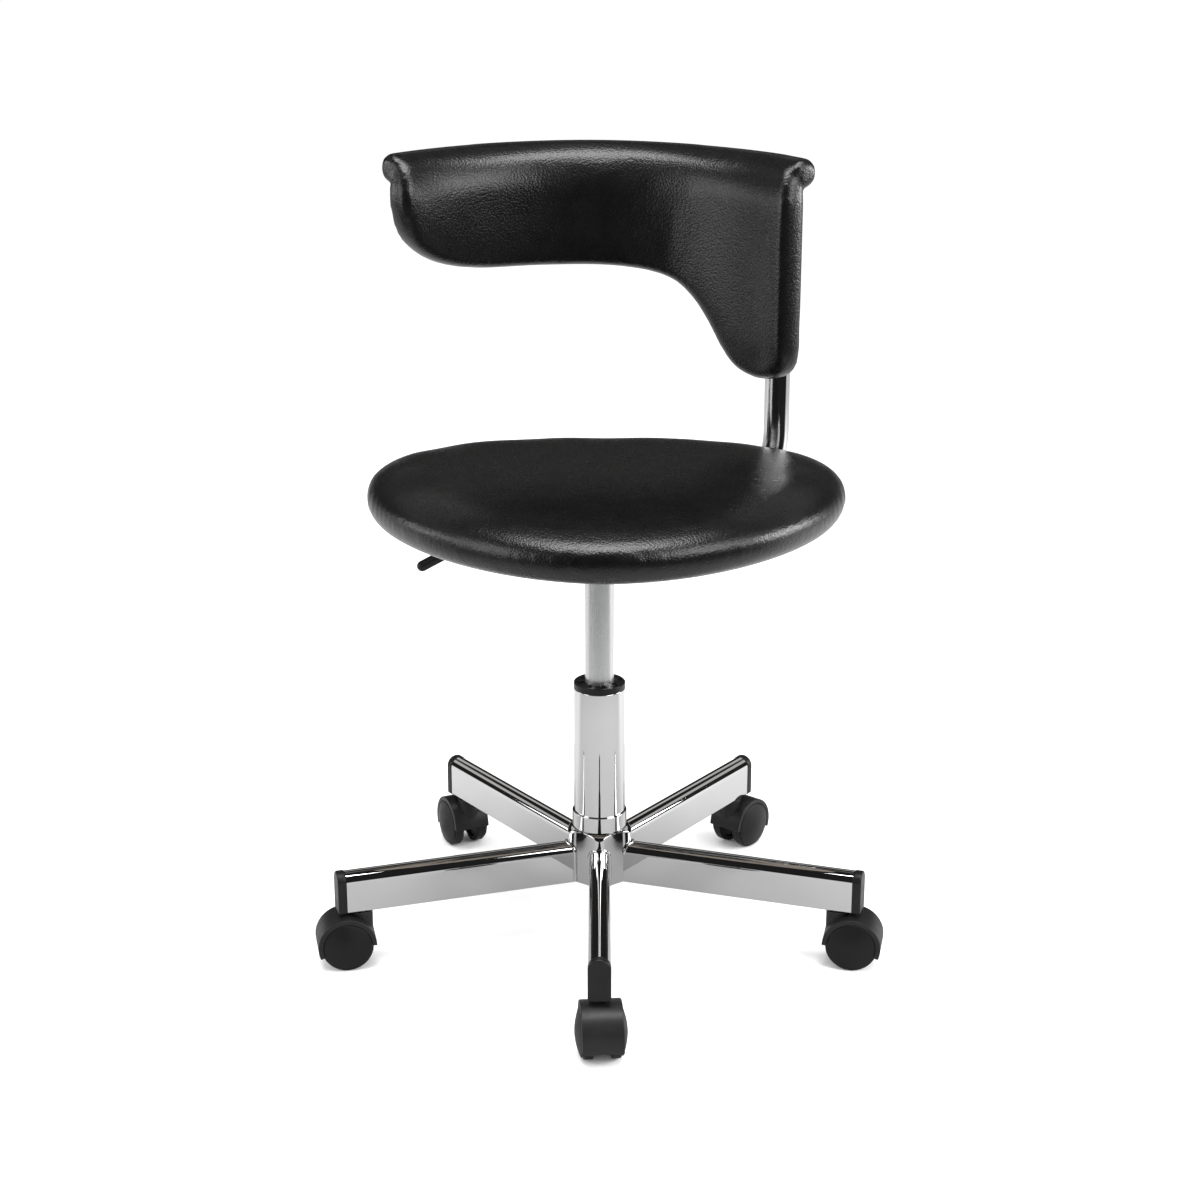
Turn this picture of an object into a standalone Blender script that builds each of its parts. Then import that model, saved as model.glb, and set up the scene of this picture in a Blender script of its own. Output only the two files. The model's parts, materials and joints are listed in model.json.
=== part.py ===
"""Rolling stylist stool: five-arm chrome base on twin-wheel casters, gas lift, round-edged seat,
and an L-shaped backrest on one bent tube that swings behind the seat.

Lengths are millimetres and angles are degrees. They become metres and radians when a mesh is made.
The stool faces -Y. Heights are above the floor, and plan positions are from the column's axis,
which stands at COLUMN_X, COLUMN_Y so that the origin is the middle of the stool's footprint.
"""
import math

import bmesh
import bpy
from mathutils import Matrix, Vector

MM = 0.001
GAP = 0.3                      # between pieces that touch
SIDES = 28                     # facets round a large turned piece
SMALL_SIDES = 14               # and round a small one

COLUMN_X = 0.0
COLUMN_Y = 21.56

# Base
ARM_COUNT = 5
FRONT_ARM_ANGLE = -90.0
ARM_BOTTOM = 57.5
ARM_TOP = 98.0
ARM_WIDTH = 20.0
ARM_WALL = 1.8
ARM_CORNER = 1.2
ARM_END = 257.0
HUB_VERTEX_R = 35.0
HUB_FILLET_R = 8.0
HUB_SHOULDER_Z = 98.5
HUB_TOP_Z = 112.5
HUB_TOP_R = 26.8
CAP_THICKNESS = 8.0
CAP_OVERLAP = 0.6              # how far the cap stands proud of the tube all round
CAP_INSERT = 6.5
CAP_ROUND = 1.6

# Column and gas spring
COLUMN_R = 25.0
COLUMN_WALL = 2.0
COLUMN_BOTTOM = 58.0
COLUMN_TOP = 256.5
COLUMN_FLOOR = 3.5
COLLAR_R = 26.7
COLLAR_TOP = 129.0
BUSH_TOP = 262.5
BUSH_BOTTOM = 192.0
GAS_R = 14.0
GAS_BORE_R = 12.0
GAS_BOTTOM = 190.0
GAS_TOP = 401.0
GAS_HEAD = 8.0
ROD_R = 5.0
ROD_BOTTOM = 54.0
PISTON_BOTTOM = 216.0
PISTON_TOP = 228.0
BEARING_TOP = 66.0
BUTTON_R = 4.0
BUTTON_TOP = 405.0

# Casters, in a frame with the swivel axis at its origin and +X along the trail
CASTER_RADIUS_ON_ARM = 241.0
CASTER_TRAIL = 16.0
CASTER_TOE = (5.0, 6.5, -4.5, -10.5, -6.5)    # each caster's turn from its arm's direction
WHEEL_R = 25.0
WHEEL_INNER = 8.2
WHEEL_TREAD_END = 16.6
WHEEL_DISC_R = 23.1
WHEEL_DISC_FOOT = 17.5         # the disc stands out of the hood's rim from here
WHEEL_DISC_Y = 19.2            # and its domed face starts here
WHEEL_OUTER = 24.0
AXLE_R = 3.0
AXLE_HALF = 18.5
HOOD_R = 28.3
HOOD_WALL = 2.0
HOOD_RIM_R = 23.7              # inside of the rims that close the hood's sides
HOOD_RIM = 1.2
HOOD_HALF = 19.0
HOOD_CORE_HALF = 7.5
HOOD_BACK_ANGLE = -22.0
HOOD_FRONT_ANGLE = 180.0
NECK_R = 10.5
NECK_BOTTOM = 38.0
NECK_TOP = 56.3
STEM_R = 5.5
STEM_BOTTOM = 31.0
STEM_TOP = 84.0

# Seat
SEAT_X = 6.2
SEAT_HALF_WIDTH = 225.7
SEAT_BACK = 140.0
SEAT_FRONT = 235.0
SEAT_BACK_POWER = 2.21
SEAT_FRONT_POWER = 1.82
SEAT_MID_Z = 452.8
SEAT_EDGE_R = 23.5
BOARD_INSET = 52.0
BOARD_BOTTOM = 420.3

# Seat mechanism
PLATE_HALF_X = 90.0
PLATE_HALF_Y = 75.0
PLATE_BOTTOM = 417.0
PLATE_TOP = 420.0
HOUSING_HALF_X = 46.0
HOUSING_HALF_Y = 24.0
HOUSING_WALL = 3.0
WEB_BOTTOM = 400.0
WEB_TOP = 402.5
SOCKET_R = 20.0
SOCKET_BOTTOM = 371.0
SCREW_X = 70.0
SCREW_Y = 60.0
SCREW_R = 3.0
PIVOT_X = -28.0
PIVOT_Z = 409.8
PIN_R = 3.0
LEVER_R = 4.0
LEVER_TIP_R = 5.2
LEVER_ELBOW = (-136.0, 0.0, 396.6)
LEVER_TIP = (-173.0, 0.0, 376.3)

# Back arm
BACK_ANGLE = 35.6              # direction of the upright from the column's axis
BACK_REACH = 214.8
BACK_TUBE_R = 12.5
BACK_TUBE_WALL = 2.0
BACK_RUN_Z = 385.5
BACK_BEND_TOP = 482.0
BACK_TUBE_TOP = 640.0
SWING_RING_R = 30.0
SWING_RING_BOTTOM = 374.6
SWING_RING_TOP = 399.6
SOCKET_ARM_R = 14.0
SOCKET_ARM_END = 48.0

# Back pad: wrapped on a vertical cylinder about the sitter
PAD_X = -13.0
PAD_Y = -76.0
PAD_FRONT_R = 231.0
PAD_BACK_R = 257.0
PAD_ROUND = 9.0
LIP_R = 13.2
LIP_CENTRE_R = 258.6
LIP_LEFT = -46.3
LIP_RIGHT = 53.4
LIP_ROUND = 4.5                # rounding of the lip's flat ends
LIP_Z = 743.0
LIP_DROP = 4.6                 # how far the lip falls at 50 degrees from the middle
SHELL_THICKNESS = 4.4
SHELL_INSET = 12.0
SHELL_TOP = 721.0
BOSS_WALL = 4.5
BOSS_BOTTOM = 556.0
PAD_OUTLINE = (                # angle about the pad's axis, height: left side, foot, leg, right side
    (-46.9, 748.0), (-46.9, 706.0), (-44.4, 674.0), (-37.0, 650.0), (-26.0, 639.3),
    (-10.0, 638.2), (4.0, 638.0), (14.0, 634.6), (21.0, 626.5), (26.0, 610.0),
    (30.0, 588.0), (33.6, 565.0), (37.4, 548.0), (42.5, 540.2), (47.5, 541.2),
    (51.6, 549.0), (53.4, 566.0), (53.6, 600.0), (53.6, 748.0),
)


# ---------------------------------------------------------------- materials

def material(name, color, roughness, metallic=0.0):
    made = bpy.data.materials.new(name)
    made.use_nodes = True
    shader = made.node_tree.nodes["Principled BSDF"]
    shader.inputs["Base Color"].default_value = (*color, 1.0)
    shader.inputs["Roughness"].default_value = roughness
    shader.inputs["Metallic"].default_value = metallic
    return made


# ---------------------------------------------------------------- mesh building

def make_object(name, shape, look, parent, location=(0, 0, 0), turn=0.0):
    """An object from (points, faces), turned about Z and placed under its parent."""
    points, faces = shape
    mesh = bpy.data.meshes.new(name)
    mesh.from_pydata([Vector(point) * MM for point in points], [], faces)
    work = bmesh.new()
    work.from_mesh(mesh)
    bmesh.ops.recalc_face_normals(work, faces=work.faces)
    work.to_mesh(mesh)
    work.free()
    mesh.shade_smooth()
    mesh.set_sharp_from_angle(angle=math.radians(35))
    mesh.materials.append(look)
    made = bpy.data.objects.new(name, mesh)
    bpy.context.scene.collection.objects.link(made)
    made.parent = parent
    made.location = Vector(location) * MM
    made.rotation_euler.z = math.radians(turn)
    return made


def make_empty(name, parent, location=(0, 0, 0), turn=0.0):
    made = bpy.data.objects.new(name, None)
    bpy.context.scene.collection.objects.link(made)
    made.parent = parent
    made.location = Vector(location) * MM
    made.rotation_euler.z = math.radians(turn)
    return made


def loft(rings, capped=True):
    """Skin rings of equal point count. Uncapped, the last ring joins the first."""
    count = len(rings[0])
    points = [point for ring in rings for point in ring]
    faces = []
    spans = len(rings) - 1 if capped else len(rings)
    for span in range(spans):
        low = span * count
        high = (span + 1) % len(rings) * count
        for k in range(count):
            nxt = (k + 1) % count
            faces.append((low + k, low + nxt, high + nxt, high + k))
    if capped:
        faces.append(tuple(range(count)))
        faces.append(tuple(range((len(rings) - 1) * count, len(rings) * count)))
    return points, faces


def lathe(profile, steps=SIDES, phase=0.0):
    """Turn a closed profile of (radius, height) about Z. Points at radius 0 become poles. Phase
    turns the facets, in steps."""
    points = []
    rows = []
    for radius, height in profile:
        if radius == 0:
            rows.append([len(points)] * steps)
            points.append((0, 0, height))
            continue
        rows.append(list(range(len(points), len(points) + steps)))
        for k in range(steps):
            angle = 2 * math.pi * (k + phase) / steps
            points.append((radius * math.cos(angle), radius * math.sin(angle), height))
    faces = []
    for i, row in enumerate(rows):
        after = rows[(i + 1) % len(rows)]
        for k in range(steps):
            nxt = (k + 1) % steps
            corners = list(dict.fromkeys((row[k], row[nxt], after[nxt], after[k])))
            if len(corners) > 2:
                faces.append(corners)
    return points, faces


def ring_profile(inner, outer, bottom, top, chamfer=0.0):
    """Rectangle with chamfered outer corners, as a lathe profile."""
    if not chamfer:
        return [(inner, bottom), (outer, bottom), (outer, top), (inner, top)]
    return [(inner, bottom), (outer - chamfer, bottom), (outer, bottom + chamfer),
            (outer, top - chamfer), (outer - chamfer, top), (inner, top)]


def rod_profile(radius, bottom, top, chamfer=0.0):
    return [(0, bottom), *ring_profile(0, radius, bottom, top, chamfer)[1:-1], (0, top)]


def box(low, high):
    (x0, y0, z0), (x1, y1, z1) = low, high
    rings = [[(x0, y0, z), (x1, y0, z), (x1, y1, z), (x0, y1, z)] for z in (z0, z1)]
    return loft(rings)


def along_y(shape):
    """Lay a shape that was turned about Z along Y."""
    points, faces = shape
    return [(x, z, -y) for x, y, z in points], faces


def moved(shape, x=0.0, y=0.0, z=0.0):
    points, faces = shape
    return [(px + x, py + y, pz + z) for px, py, pz in points], faces


def circle(radius, steps):
    return [(radius * math.cos(2 * math.pi * k / steps), radius * math.sin(2 * math.pi * k / steps))
            for k in range(steps)]


def sweep(path, radii, steps):
    """Rings of the given radii across a path that stays in a vertical plane."""
    path = [Vector(point) for point in path]
    side = (path[-1] - path[0]).cross(Vector((0, 0, 1))).normalized()
    rings = []
    for i, centre in enumerate(path):
        ahead = (path[min(i + 1, len(path) - 1)] - path[max(i - 1, 0)]).normalized()
        up = side.cross(ahead)
        rings.append([centre + side * x + up * y for x, y in circle(radii[i], steps)])
    return rings


def combine(target, other, operation):
    """Boolean a helper into an object. The helper stays as a wire guide."""
    change = target.modifiers.new(other.name, "BOOLEAN")
    change.operation = operation
    change.solver = "EXACT"
    change.object = other
    other.hide_render = True
    other.display_type = "WIRE"


def cut(target, name, shape, parent, **place):
    combine(target, make_object(name, shape, target.data.materials[0], parent, **place), "DIFFERENCE")


def add(target, name, shape, parent, **place):
    combine(target, make_object(name, shape, target.data.materials[0], parent, **place), "UNION")


# ---------------------------------------------------------------- base

def pentagon_radius(angle, grow=0.0):
    """Distance from the axis to a filleted pentagon's edge, for a direction in radians from its
    front vertex. Grow moves the whole edge outward."""
    sector = 2 * math.pi / ARM_COUNT
    half = sector / 2
    off = abs((angle + half) % sector - half)
    vertex = HUB_VERTEX_R + grow / math.cos(half)
    fillet = HUB_FILLET_R + grow
    centre = vertex - fillet / math.cos(half)
    tangent = math.atan2(fillet * math.sin(half), centre + fillet * math.cos(half))
    if off < tangent:
        return centre * math.cos(off) + math.sqrt(fillet ** 2 - (centre * math.sin(off)) ** 2)
    return vertex * math.cos(half) / math.cos(half - off)


def hub_ring(height, blend=0.0, grow=0.0, steps=40):
    """Hub outline at a height, blended towards the top circle."""
    ring = []
    for k in range(steps):
        angle = 2 * math.pi * k / steps
        radius = pentagon_radius(angle, grow)
        radius += (HUB_TOP_R - radius) * blend
        turned = angle + math.radians(FRONT_ARM_ANGLE)
        ring.append((radius * math.cos(turned), radius * math.sin(turned), height))
    return ring


def build_hub(stool, chrome):
    rings = [hub_ring(ARM_BOTTOM)]
    dome_steps = 3
    for k in range(dome_steps + 1):
        angle = math.pi / 2 * k / dome_steps
        height = HUB_SHOULDER_Z + (HUB_TOP_Z - HUB_SHOULDER_Z) * math.sin(angle)
        rings.append(hub_ring(height, blend=1 - math.cos(angle)))
    bore = COLUMN_R + GAP
    scale = bore / HUB_TOP_R
    for height in (HUB_TOP_Z, ARM_BOTTOM):
        rings.append([(x * scale, y * scale, height) for x, y, _ in hub_ring(height, blend=1.0)])
    make_object("base_hub", loft(rings, capped=False), chrome, stool)


def arm_outline(inset=0.0, arc_steps=8):
    """Section of an arm across its length: flat sides, fully rounded top, small bottom corners."""
    half = ARM_WIDTH / 2 - inset
    low = ARM_BOTTOM + inset
    corner = max(ARM_CORNER - inset, 0.2)
    crown = ARM_TOP - ARM_WIDTH / 2
    outline = [(-half + corner, low), (half - corner, low), (half, low + corner)]
    for k in range(arc_steps + 1):
        angle = math.pi * k / arc_steps
        outline.append((half * math.cos(angle), crown + half * math.sin(angle)))
    outline.append((-half, low + corner))
    return outline


def section_ring(x, inset):
    return [(x, y, z) for y, z in arm_outline(inset)]


def build_arm(number, stool, chrome, black):
    """Arm tube, with its hub end cut to the hub and a hole for the caster's stem, and its end cap."""
    turn = FRONT_ARM_ANGLE + 360 / ARM_COUNT * (number - 1)
    start = HUB_VERTEX_R - 12
    rings = [section_ring(start, 0), section_ring(ARM_END, 0),
             section_ring(ARM_END, ARM_WALL), section_ring(start, ARM_WALL)]
    name = f"base_arm_{number}"
    arm = make_object(name, loft(rings, capped=False), chrome, stool, turn=turn)
    hub_space = [hub_ring(z, grow=GAP) for z in (ARM_BOTTOM - 5, ARM_TOP + 5)]
    cut(arm, f"{name}_hub_space", loft(hub_space), stool)
    hole = lathe(rod_profile(STEM_R + GAP, ARM_BOTTOM - 5, ARM_BOTTOM + 5), SMALL_SIDES)
    cut(arm, f"{name}_stem_hole", moved(hole, x=CASTER_RADIUS_ON_ARM), stool, turn=turn)

    face = ARM_END + GAP
    end = face + CAP_THICKNESS
    inner = ARM_WALL + GAP
    rings = [section_ring(ARM_END - CAP_INSERT, inner), section_ring(face, inner),
             section_ring(face, -CAP_OVERLAP), section_ring(end - CAP_ROUND, -CAP_OVERLAP),
             section_ring(end, CAP_ROUND - CAP_OVERLAP)]
    make_object(f"arm_end_cap_{number}", loft(rings), black, stool, turn=turn)


# ---------------------------------------------------------------- column and gas spring

def build_column(stool, chrome, black, steel):
    inner = COLUMN_R - COLUMN_WALL
    floor = COLUMN_BOTTOM + COLUMN_FLOOR
    hole = ROD_R + 1.3
    tube = [(hole, COLUMN_BOTTOM), (COLUMN_R, COLUMN_BOTTOM), (COLUMN_R, COLUMN_TOP),
            (inner, COLUMN_TOP), (inner, floor), (hole, floor)]
    make_object("column_tube", lathe(tube, 32), chrome, stool)

    collar = ring_profile(COLUMN_R + GAP, COLLAR_R, HUB_TOP_Z + GAP, COLLAR_TOP)
    make_object("column_collar", lathe(collar, 32), chrome, stool)

    flange = COLUMN_TOP + GAP
    bush = [(GAS_R + GAP, BUSH_BOTTOM), (inner - GAP, BUSH_BOTTOM), (inner - GAP, flange),
            (COLUMN_R, flange), (COLUMN_R, BUSH_TOP - 1), (COLUMN_R - 1, BUSH_TOP),
            (GAS_R + GAP, BUSH_TOP)]
    make_object("column_bush", lathe(bush, 32), black, stool)

    bearing = ring_profile(hole, GAS_R, floor + GAP, BEARING_TOP)
    make_object("thrust_bearing", lathe(bearing, SMALL_SIDES), steel, stool)

    groove = COLUMN_BOTTOM - 0.5
    shoulder = BEARING_TOP + GAP
    rod = [(0, ROD_BOTTOM), (ROD_R, ROD_BOTTOM), (ROD_R, groove - 1.3), (ROD_R - 1, groove - 1.3),
           (ROD_R - 1, groove), (ROD_R, groove), (ROD_R, shoulder), (ROD_R + 3, shoulder),
           (ROD_R + 3, shoulder + 3), (ROD_R, shoulder + 3), (ROD_R, PISTON_BOTTOM),
           (GAS_BORE_R - GAP, PISTON_BOTTOM), (GAS_BORE_R - GAP, PISTON_TOP), (0, PISTON_TOP)]
    make_object("piston_rod", lathe(rod, SMALL_SIDES), steel, stool)

    clip = ring_profile(ROD_R - 1 + GAP, ROD_R + 4, groove - 1.1, groove - 0.2)
    make_object("rod_clip", lathe(clip, SMALL_SIDES), steel, stool)


def build_gas_spring(stool, grey, black, steel):
    head = GAS_TOP - GAS_HEAD
    hole = BUTTON_R + GAP
    cylinder = [(GAS_BORE_R, GAS_BOTTOM), (GAS_R, GAS_BOTTOM), (GAS_R, GAS_TOP - 1),
                (GAS_R - 1, GAS_TOP), (hole, GAS_TOP), (hole, head), (GAS_BORE_R, head)]
    make_object("gas_cylinder", lathe(cylinder), grey, stool)

    gland = ring_profile(ROD_R + GAP, GAS_BORE_R - GAP, GAS_BOTTOM + 1, GAS_BOTTOM + 13)
    make_object("cylinder_gland", lathe(gland, SMALL_SIDES), black, stool)

    button = [(0, head - 7), (BUTTON_R, head - 7), (BUTTON_R, head - 4), (BUTTON_R + 2, head - 4),
              (BUTTON_R + 2, head - GAP), (BUTTON_R, head - GAP), (BUTTON_R, BUTTON_TOP),
              (0, BUTTON_TOP)]
    make_object("release_button", lathe(button, SMALL_SIDES), steel, stool)


# ---------------------------------------------------------------- casters

def arc_points(centre_x, centre_z, radius, start, end, steps):
    points = []
    for k in range(steps + 1):
        angle = math.radians(start + (end - start) * k / steps)
        points.append((centre_x + radius * math.cos(angle), centre_z + radius * math.sin(angle)))
    return points


def plate_across(outline, half):
    """Extrude an outline of (x, z) to both sides of the plane y = 0."""
    return loft([[(x, y, z) for x, z in outline] for y in (-half, half)])


def hood_outline(outer, inner, steps=12):
    span = (HOOD_BACK_ANGLE, HOOD_FRONT_ANGLE)
    outside = arc_points(CASTER_TRAIL, WHEEL_R, outer, *span, steps)
    inside = arc_points(CASTER_TRAIL, WHEEL_R, inner, *span, steps)
    return outside + inside[::-1]


def build_hood(name, swivel, black):
    """Arched cover with side rims over both wheels, the neck on the stem, and the core that holds
    the axle between the wheels."""
    hood = make_object(name, plate_across(hood_outline(HOOD_R, HOOD_RIM_R), HOOD_HALF), black, swivel)
    neck = lathe(rod_profile(NECK_R, NECK_BOTTOM, NECK_TOP), SMALL_SIDES)
    add(hood, f"{name}_neck", neck, swivel)
    inner = HOOD_R - HOOD_WALL
    wheel_space = plate_across(arc_points(CASTER_TRAIL, WHEEL_R, inner, 0, 340, 17), HOOD_HALF - HOOD_RIM)
    cut(hood, f"{name}_wheel_space", wheel_space, swivel)
    core = arc_points(CASTER_TRAIL, WHEEL_R, inner + HOOD_WALL / 2, HOOD_BACK_ANGLE,
                      HOOD_FRONT_ANGLE, 12)
    core += [(CASTER_TRAIL - 10, WHEEL_R - 7), (CASTER_TRAIL + 10, WHEEL_R - 11)]
    add(hood, f"{name}_core", plate_across(core, HOOD_CORE_HALF), swivel)
    stem_hole = lathe(rod_profile(STEM_R + GAP, STEM_BOTTOM - 1, NECK_TOP + 5), SMALL_SIDES)
    cut(hood, f"{name}_stem_hole", stem_hole, swivel)
    axle_hole = along_y(lathe(rod_profile(AXLE_R + 0.1, -HOOD_HALF, HOOD_HALF), SMALL_SIDES))
    cut(hood, f"{name}_axle_hole", axle_hole, swivel, location=(CASTER_TRAIL, 0, WHEEL_R))


def wheel_profile():
    """One wheel from its inner face to its domed outer face, with a blind bore for the axle. The
    middles of its facets are at the wheel's radius, so it stands on a flat."""
    bore = AXLE_R + 0.15
    rim = WHEEL_R / math.cos(math.pi / SIDES)
    rise = WHEEL_OUTER - WHEEL_DISC_Y
    return [(bore, WHEEL_INNER), (rim, WHEEL_INNER), (rim, WHEEL_TREAD_END),
            (WHEEL_DISC_R, WHEEL_DISC_FOOT), (WHEEL_DISC_R, WHEEL_DISC_Y), (WHEEL_DISC_R / 2, WHEEL_DISC_Y + rise * 0.75),
            (0, WHEEL_OUTER), (0, AXLE_HALF + GAP), (bore, AXLE_HALF + GAP)]


def build_caster(number, stool, black, steel):
    """The swivel empty stands on the swivel axis. The axle and the wheels hang from the axle empty."""
    arm_turn = FRONT_ARM_ANGLE + 360 / ARM_COUNT * (number - 1)
    reach = Vector((CASTER_RADIUS_ON_ARM, 0, 0))
    reach.rotate(Matrix.Rotation(math.radians(arm_turn), 3, "Z"))
    name = f"caster_{number}"
    swivel = make_empty(f"{name}_swivel_axis", stool, reach, arm_turn + CASTER_TOE[number - 1])
    axle_axis = make_empty(f"{name}_axle_axis", swivel, (CASTER_TRAIL, 0, WHEEL_R))
    build_hood(f"{name}_hood", swivel, black)

    flange = NECK_TOP + GAP
    stem = [(0, STEM_BOTTOM), (STEM_R, STEM_BOTTOM), (STEM_R, flange), (STEM_R + 2.5, flange),
            (STEM_R + 2.5, ARM_BOTTOM - GAP), (STEM_R, ARM_BOTTOM - GAP),
            (STEM_R, STEM_TOP), (0, STEM_TOP)]
    make_object(f"{name}_stem", lathe(stem, SMALL_SIDES), steel, swivel)
    axle = along_y(lathe(rod_profile(AXLE_R, -AXLE_HALF, AXLE_HALF), SMALL_SIDES))
    make_object(f"{name}_axle", axle, steel, axle_axis)
    wheel = along_y(lathe(wheel_profile(), phase=0.5))
    make_object(f"{name}_wheel_a", wheel, black, axle_axis)
    make_object(f"{name}_wheel_b", wheel, black, axle_axis, turn=180)


# ---------------------------------------------------------------- seat

def seat_outline(inset, steps=48):
    """Plan outline: two superellipse halves, the front one longer and more pointed."""
    half = SEAT_HALF_WIDTH - inset
    outline = []
    for k in range(steps):
        angle = 2 * math.pi * k / steps
        back = math.sin(angle) >= 0
        power = SEAT_BACK_POWER if back else SEAT_FRONT_POWER
        reach = (SEAT_BACK if back else SEAT_FRONT) - inset
        x = half * math.copysign(abs(math.cos(angle)) ** (2 / power), math.cos(angle))
        y = reach * math.copysign(abs(math.sin(angle)) ** (2 / power), math.sin(angle))
        outline.append((SEAT_X + x, y))
    return outline


def seat_ring(inset, height):
    return [(x, y, height) for x, y in seat_outline(inset)]


def build_cushion(stool, leather):
    """Flat-topped pad with a full round edge."""
    rings = []
    steps = 6
    for k in range(steps + 1):
        angle = math.pi * (k / steps - 0.5)
        inset = SEAT_EDGE_R * (1 - math.cos(angle))
        rings.append(seat_ring(inset, SEAT_MID_Z + SEAT_EDGE_R * math.sin(angle)))
    make_object("seat_cushion", loft(rings), leather, stool)


def build_board(stool, wood):
    top = SEAT_MID_Z - SEAT_EDGE_R - GAP
    rings = [seat_ring(BOARD_INSET, BOARD_BOTTOM), seat_ring(BOARD_INSET, top)]
    board = make_object("seat_board", loft(rings), wood, stool)
    hole = lathe(rod_profile(SCREW_R + GAP, BOARD_BOTTOM - 5, top - 1), SMALL_SIDES)
    for number, (x, y) in enumerate(screw_places(), 1):
        cut(board, f"seat_board_hole_{number}", hole, stool, location=(x, y, 0))


def screw_places():
    return [(x, y) for x in (-SCREW_X, SCREW_X) for y in (-SCREW_Y, SCREW_Y)]


def build_mechanism(stool, black, steel):
    """Top plate, channel for the lever, and the socket that takes the gas spring's top."""
    plate = box((-PLATE_HALF_X, -PLATE_HALF_Y, PLATE_BOTTOM), (PLATE_HALF_X, PLATE_HALF_Y, PLATE_TOP))
    mechanism = make_object("seat_mechanism", plate, black, stool)
    into_plate = PLATE_BOTTOM + HOUSING_WALL / 2
    inner = HOUSING_HALF_Y - HOUSING_WALL
    for side, (y0, y1) in (("left", (inner, HOUSING_HALF_Y)), ("right", (-HOUSING_HALF_Y, -inner))):
        cheek = box((-HOUSING_HALF_X, y0, WEB_BOTTOM), (HOUSING_HALF_X, y1, into_plate))
        add(mechanism, f"mechanism_cheek_{side}", cheek, stool)
    web = box((-HOUSING_HALF_X + 0.5, -inner - 1, WEB_BOTTOM + 0.01),
              (HOUSING_HALF_X - 0.5, inner + 1, WEB_TOP))
    add(mechanism, "mechanism_web", web, stool)
    socket = [(GAS_R - 2, SOCKET_BOTTOM), (SOCKET_R, SOCKET_BOTTOM), (SOCKET_R, SOCKET_BOTTOM + 0.8),
              (SOCKET_R - 1.2, SOCKET_BOTTOM + 0.8), (SOCKET_R - 1.2, SOCKET_BOTTOM + 3),
              (SOCKET_R, SOCKET_BOTTOM + 3), (SOCKET_R, WEB_BOTTOM + 1), (GAS_R - 2, WEB_BOTTOM + 1)]
    add(mechanism, "mechanism_socket", lathe(socket), stool)
    bore = lathe(rod_profile(GAS_R + GAP, SOCKET_BOTTOM - 5, WEB_TOP + 1))
    cut(mechanism, "mechanism_bore", bore, stool)
    pin_hole = along_y(lathe(rod_profile(PIN_R + 0.15, -40, 40), SMALL_SIDES))
    cut(mechanism, "mechanism_pin_hole", pin_hole, stool, location=(PIVOT_X, 0, PIVOT_Z))
    screw_hole = lathe(rod_profile(SCREW_R + GAP, PLATE_BOTTOM - 5, PLATE_TOP + 5), SMALL_SIDES)
    for number, (x, y) in enumerate(screw_places(), 1):
        cut(mechanism, f"mechanism_screw_hole_{number}", screw_hole, stool, location=(x, y, 0))

    pin = along_y(lathe(rod_profile(PIN_R, -HOUSING_HALF_Y - 1.5, HOUSING_HALF_Y + 1.5), SMALL_SIDES))
    make_object("lever_pin", pin, steel, stool, location=(PIVOT_X, 0, PIVOT_Z))
    head = PLATE_BOTTOM - GAP
    screw = [(0, head - 3.6), (5.6, head - 2.2), (5.6, head), (SCREW_R, head),
             (SCREW_R, BOARD_BOTTOM + 7), (0, BOARD_BOTTOM + 7)]
    for number, (x, y) in enumerate(screw_places(), 1):
        make_object(f"seat_screw_{number}", lathe(screw, SMALL_SIDES), steel, stool, location=(x, y, 0))


def build_lever(stool, black):
    """Round lever from above the release button, through its pivot and out to the left, where it
    turns down into a grip with a rounded tip. Its origin is on the pivot's axis."""
    pivot = Vector((PIVOT_X, 0, PIVOT_Z))
    elbow = Vector(LEVER_ELBOW)
    tip = Vector(LEVER_TIP)
    bend = Vector((-46, 0, PIVOT_Z - 1))
    out = (tip - elbow).normalized()
    path = [Vector((5, 0, PIVOT_Z)), pivot, bend, elbow, elbow + out * 8, tip - out * LEVER_TIP_R,
            tip - out * (LEVER_TIP_R * 0.3), tip]
    radii = [LEVER_R] * 4 + [LEVER_TIP_R * part for part in (1.0, 1.0, 0.72, 0.2)]
    rings = sweep([point - pivot for point in path], radii, 12)
    lever = make_object("lift_lever", loft(rings), black, stool, location=pivot)
    boss = along_y(lathe(rod_profile(6.6, -7, 7), SMALL_SIDES))
    add(lever, "lift_lever_boss", boss, stool, location=pivot)
    hole = along_y(lathe(rod_profile(PIN_R + 0.15, -10, 10), SMALL_SIDES))
    cut(lever, "lift_lever_hole", hole, stool, location=pivot)


# ---------------------------------------------------------------- back arm

def build_swing_ring(arm_axis, black, steel):
    """Ring that turns on the socket, with a stub that holds the back tube, and the clip under it."""
    ring = lathe(ring_profile(SOCKET_R + GAP, SWING_RING_R, SWING_RING_BOTTOM, SWING_RING_TOP))
    collar = make_object("swing_ring", ring, black, arm_axis)
    across = [(0, -y, x) for x, y in circle(SOCKET_ARM_R, 20)]
    stub = loft([[(x, y, z + BACK_RUN_Z) for _, y, z in across]
                 for x in (SWING_RING_R - 5, SOCKET_ARM_END)])
    add(collar, "swing_ring_stub", stub, arm_axis)
    across = [(0, -y, x) for x, y in circle(BACK_TUBE_R + GAP, 20)]
    bore = loft([[(x, y, z + BACK_RUN_Z) for _, y, z in across]
                 for x in (SWING_RING_R + 2, SOCKET_ARM_END + 5)])
    cut(collar, "swing_ring_bore", bore, arm_axis)
    clip = ring_profile(SOCKET_R - 1.2 + GAP, SOCKET_R + 4, SOCKET_BOTTOM + 1.1, SOCKET_BOTTOM + 2.7)
    make_object("swing_clip", lathe(clip, 20), steel, arm_axis)


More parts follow.
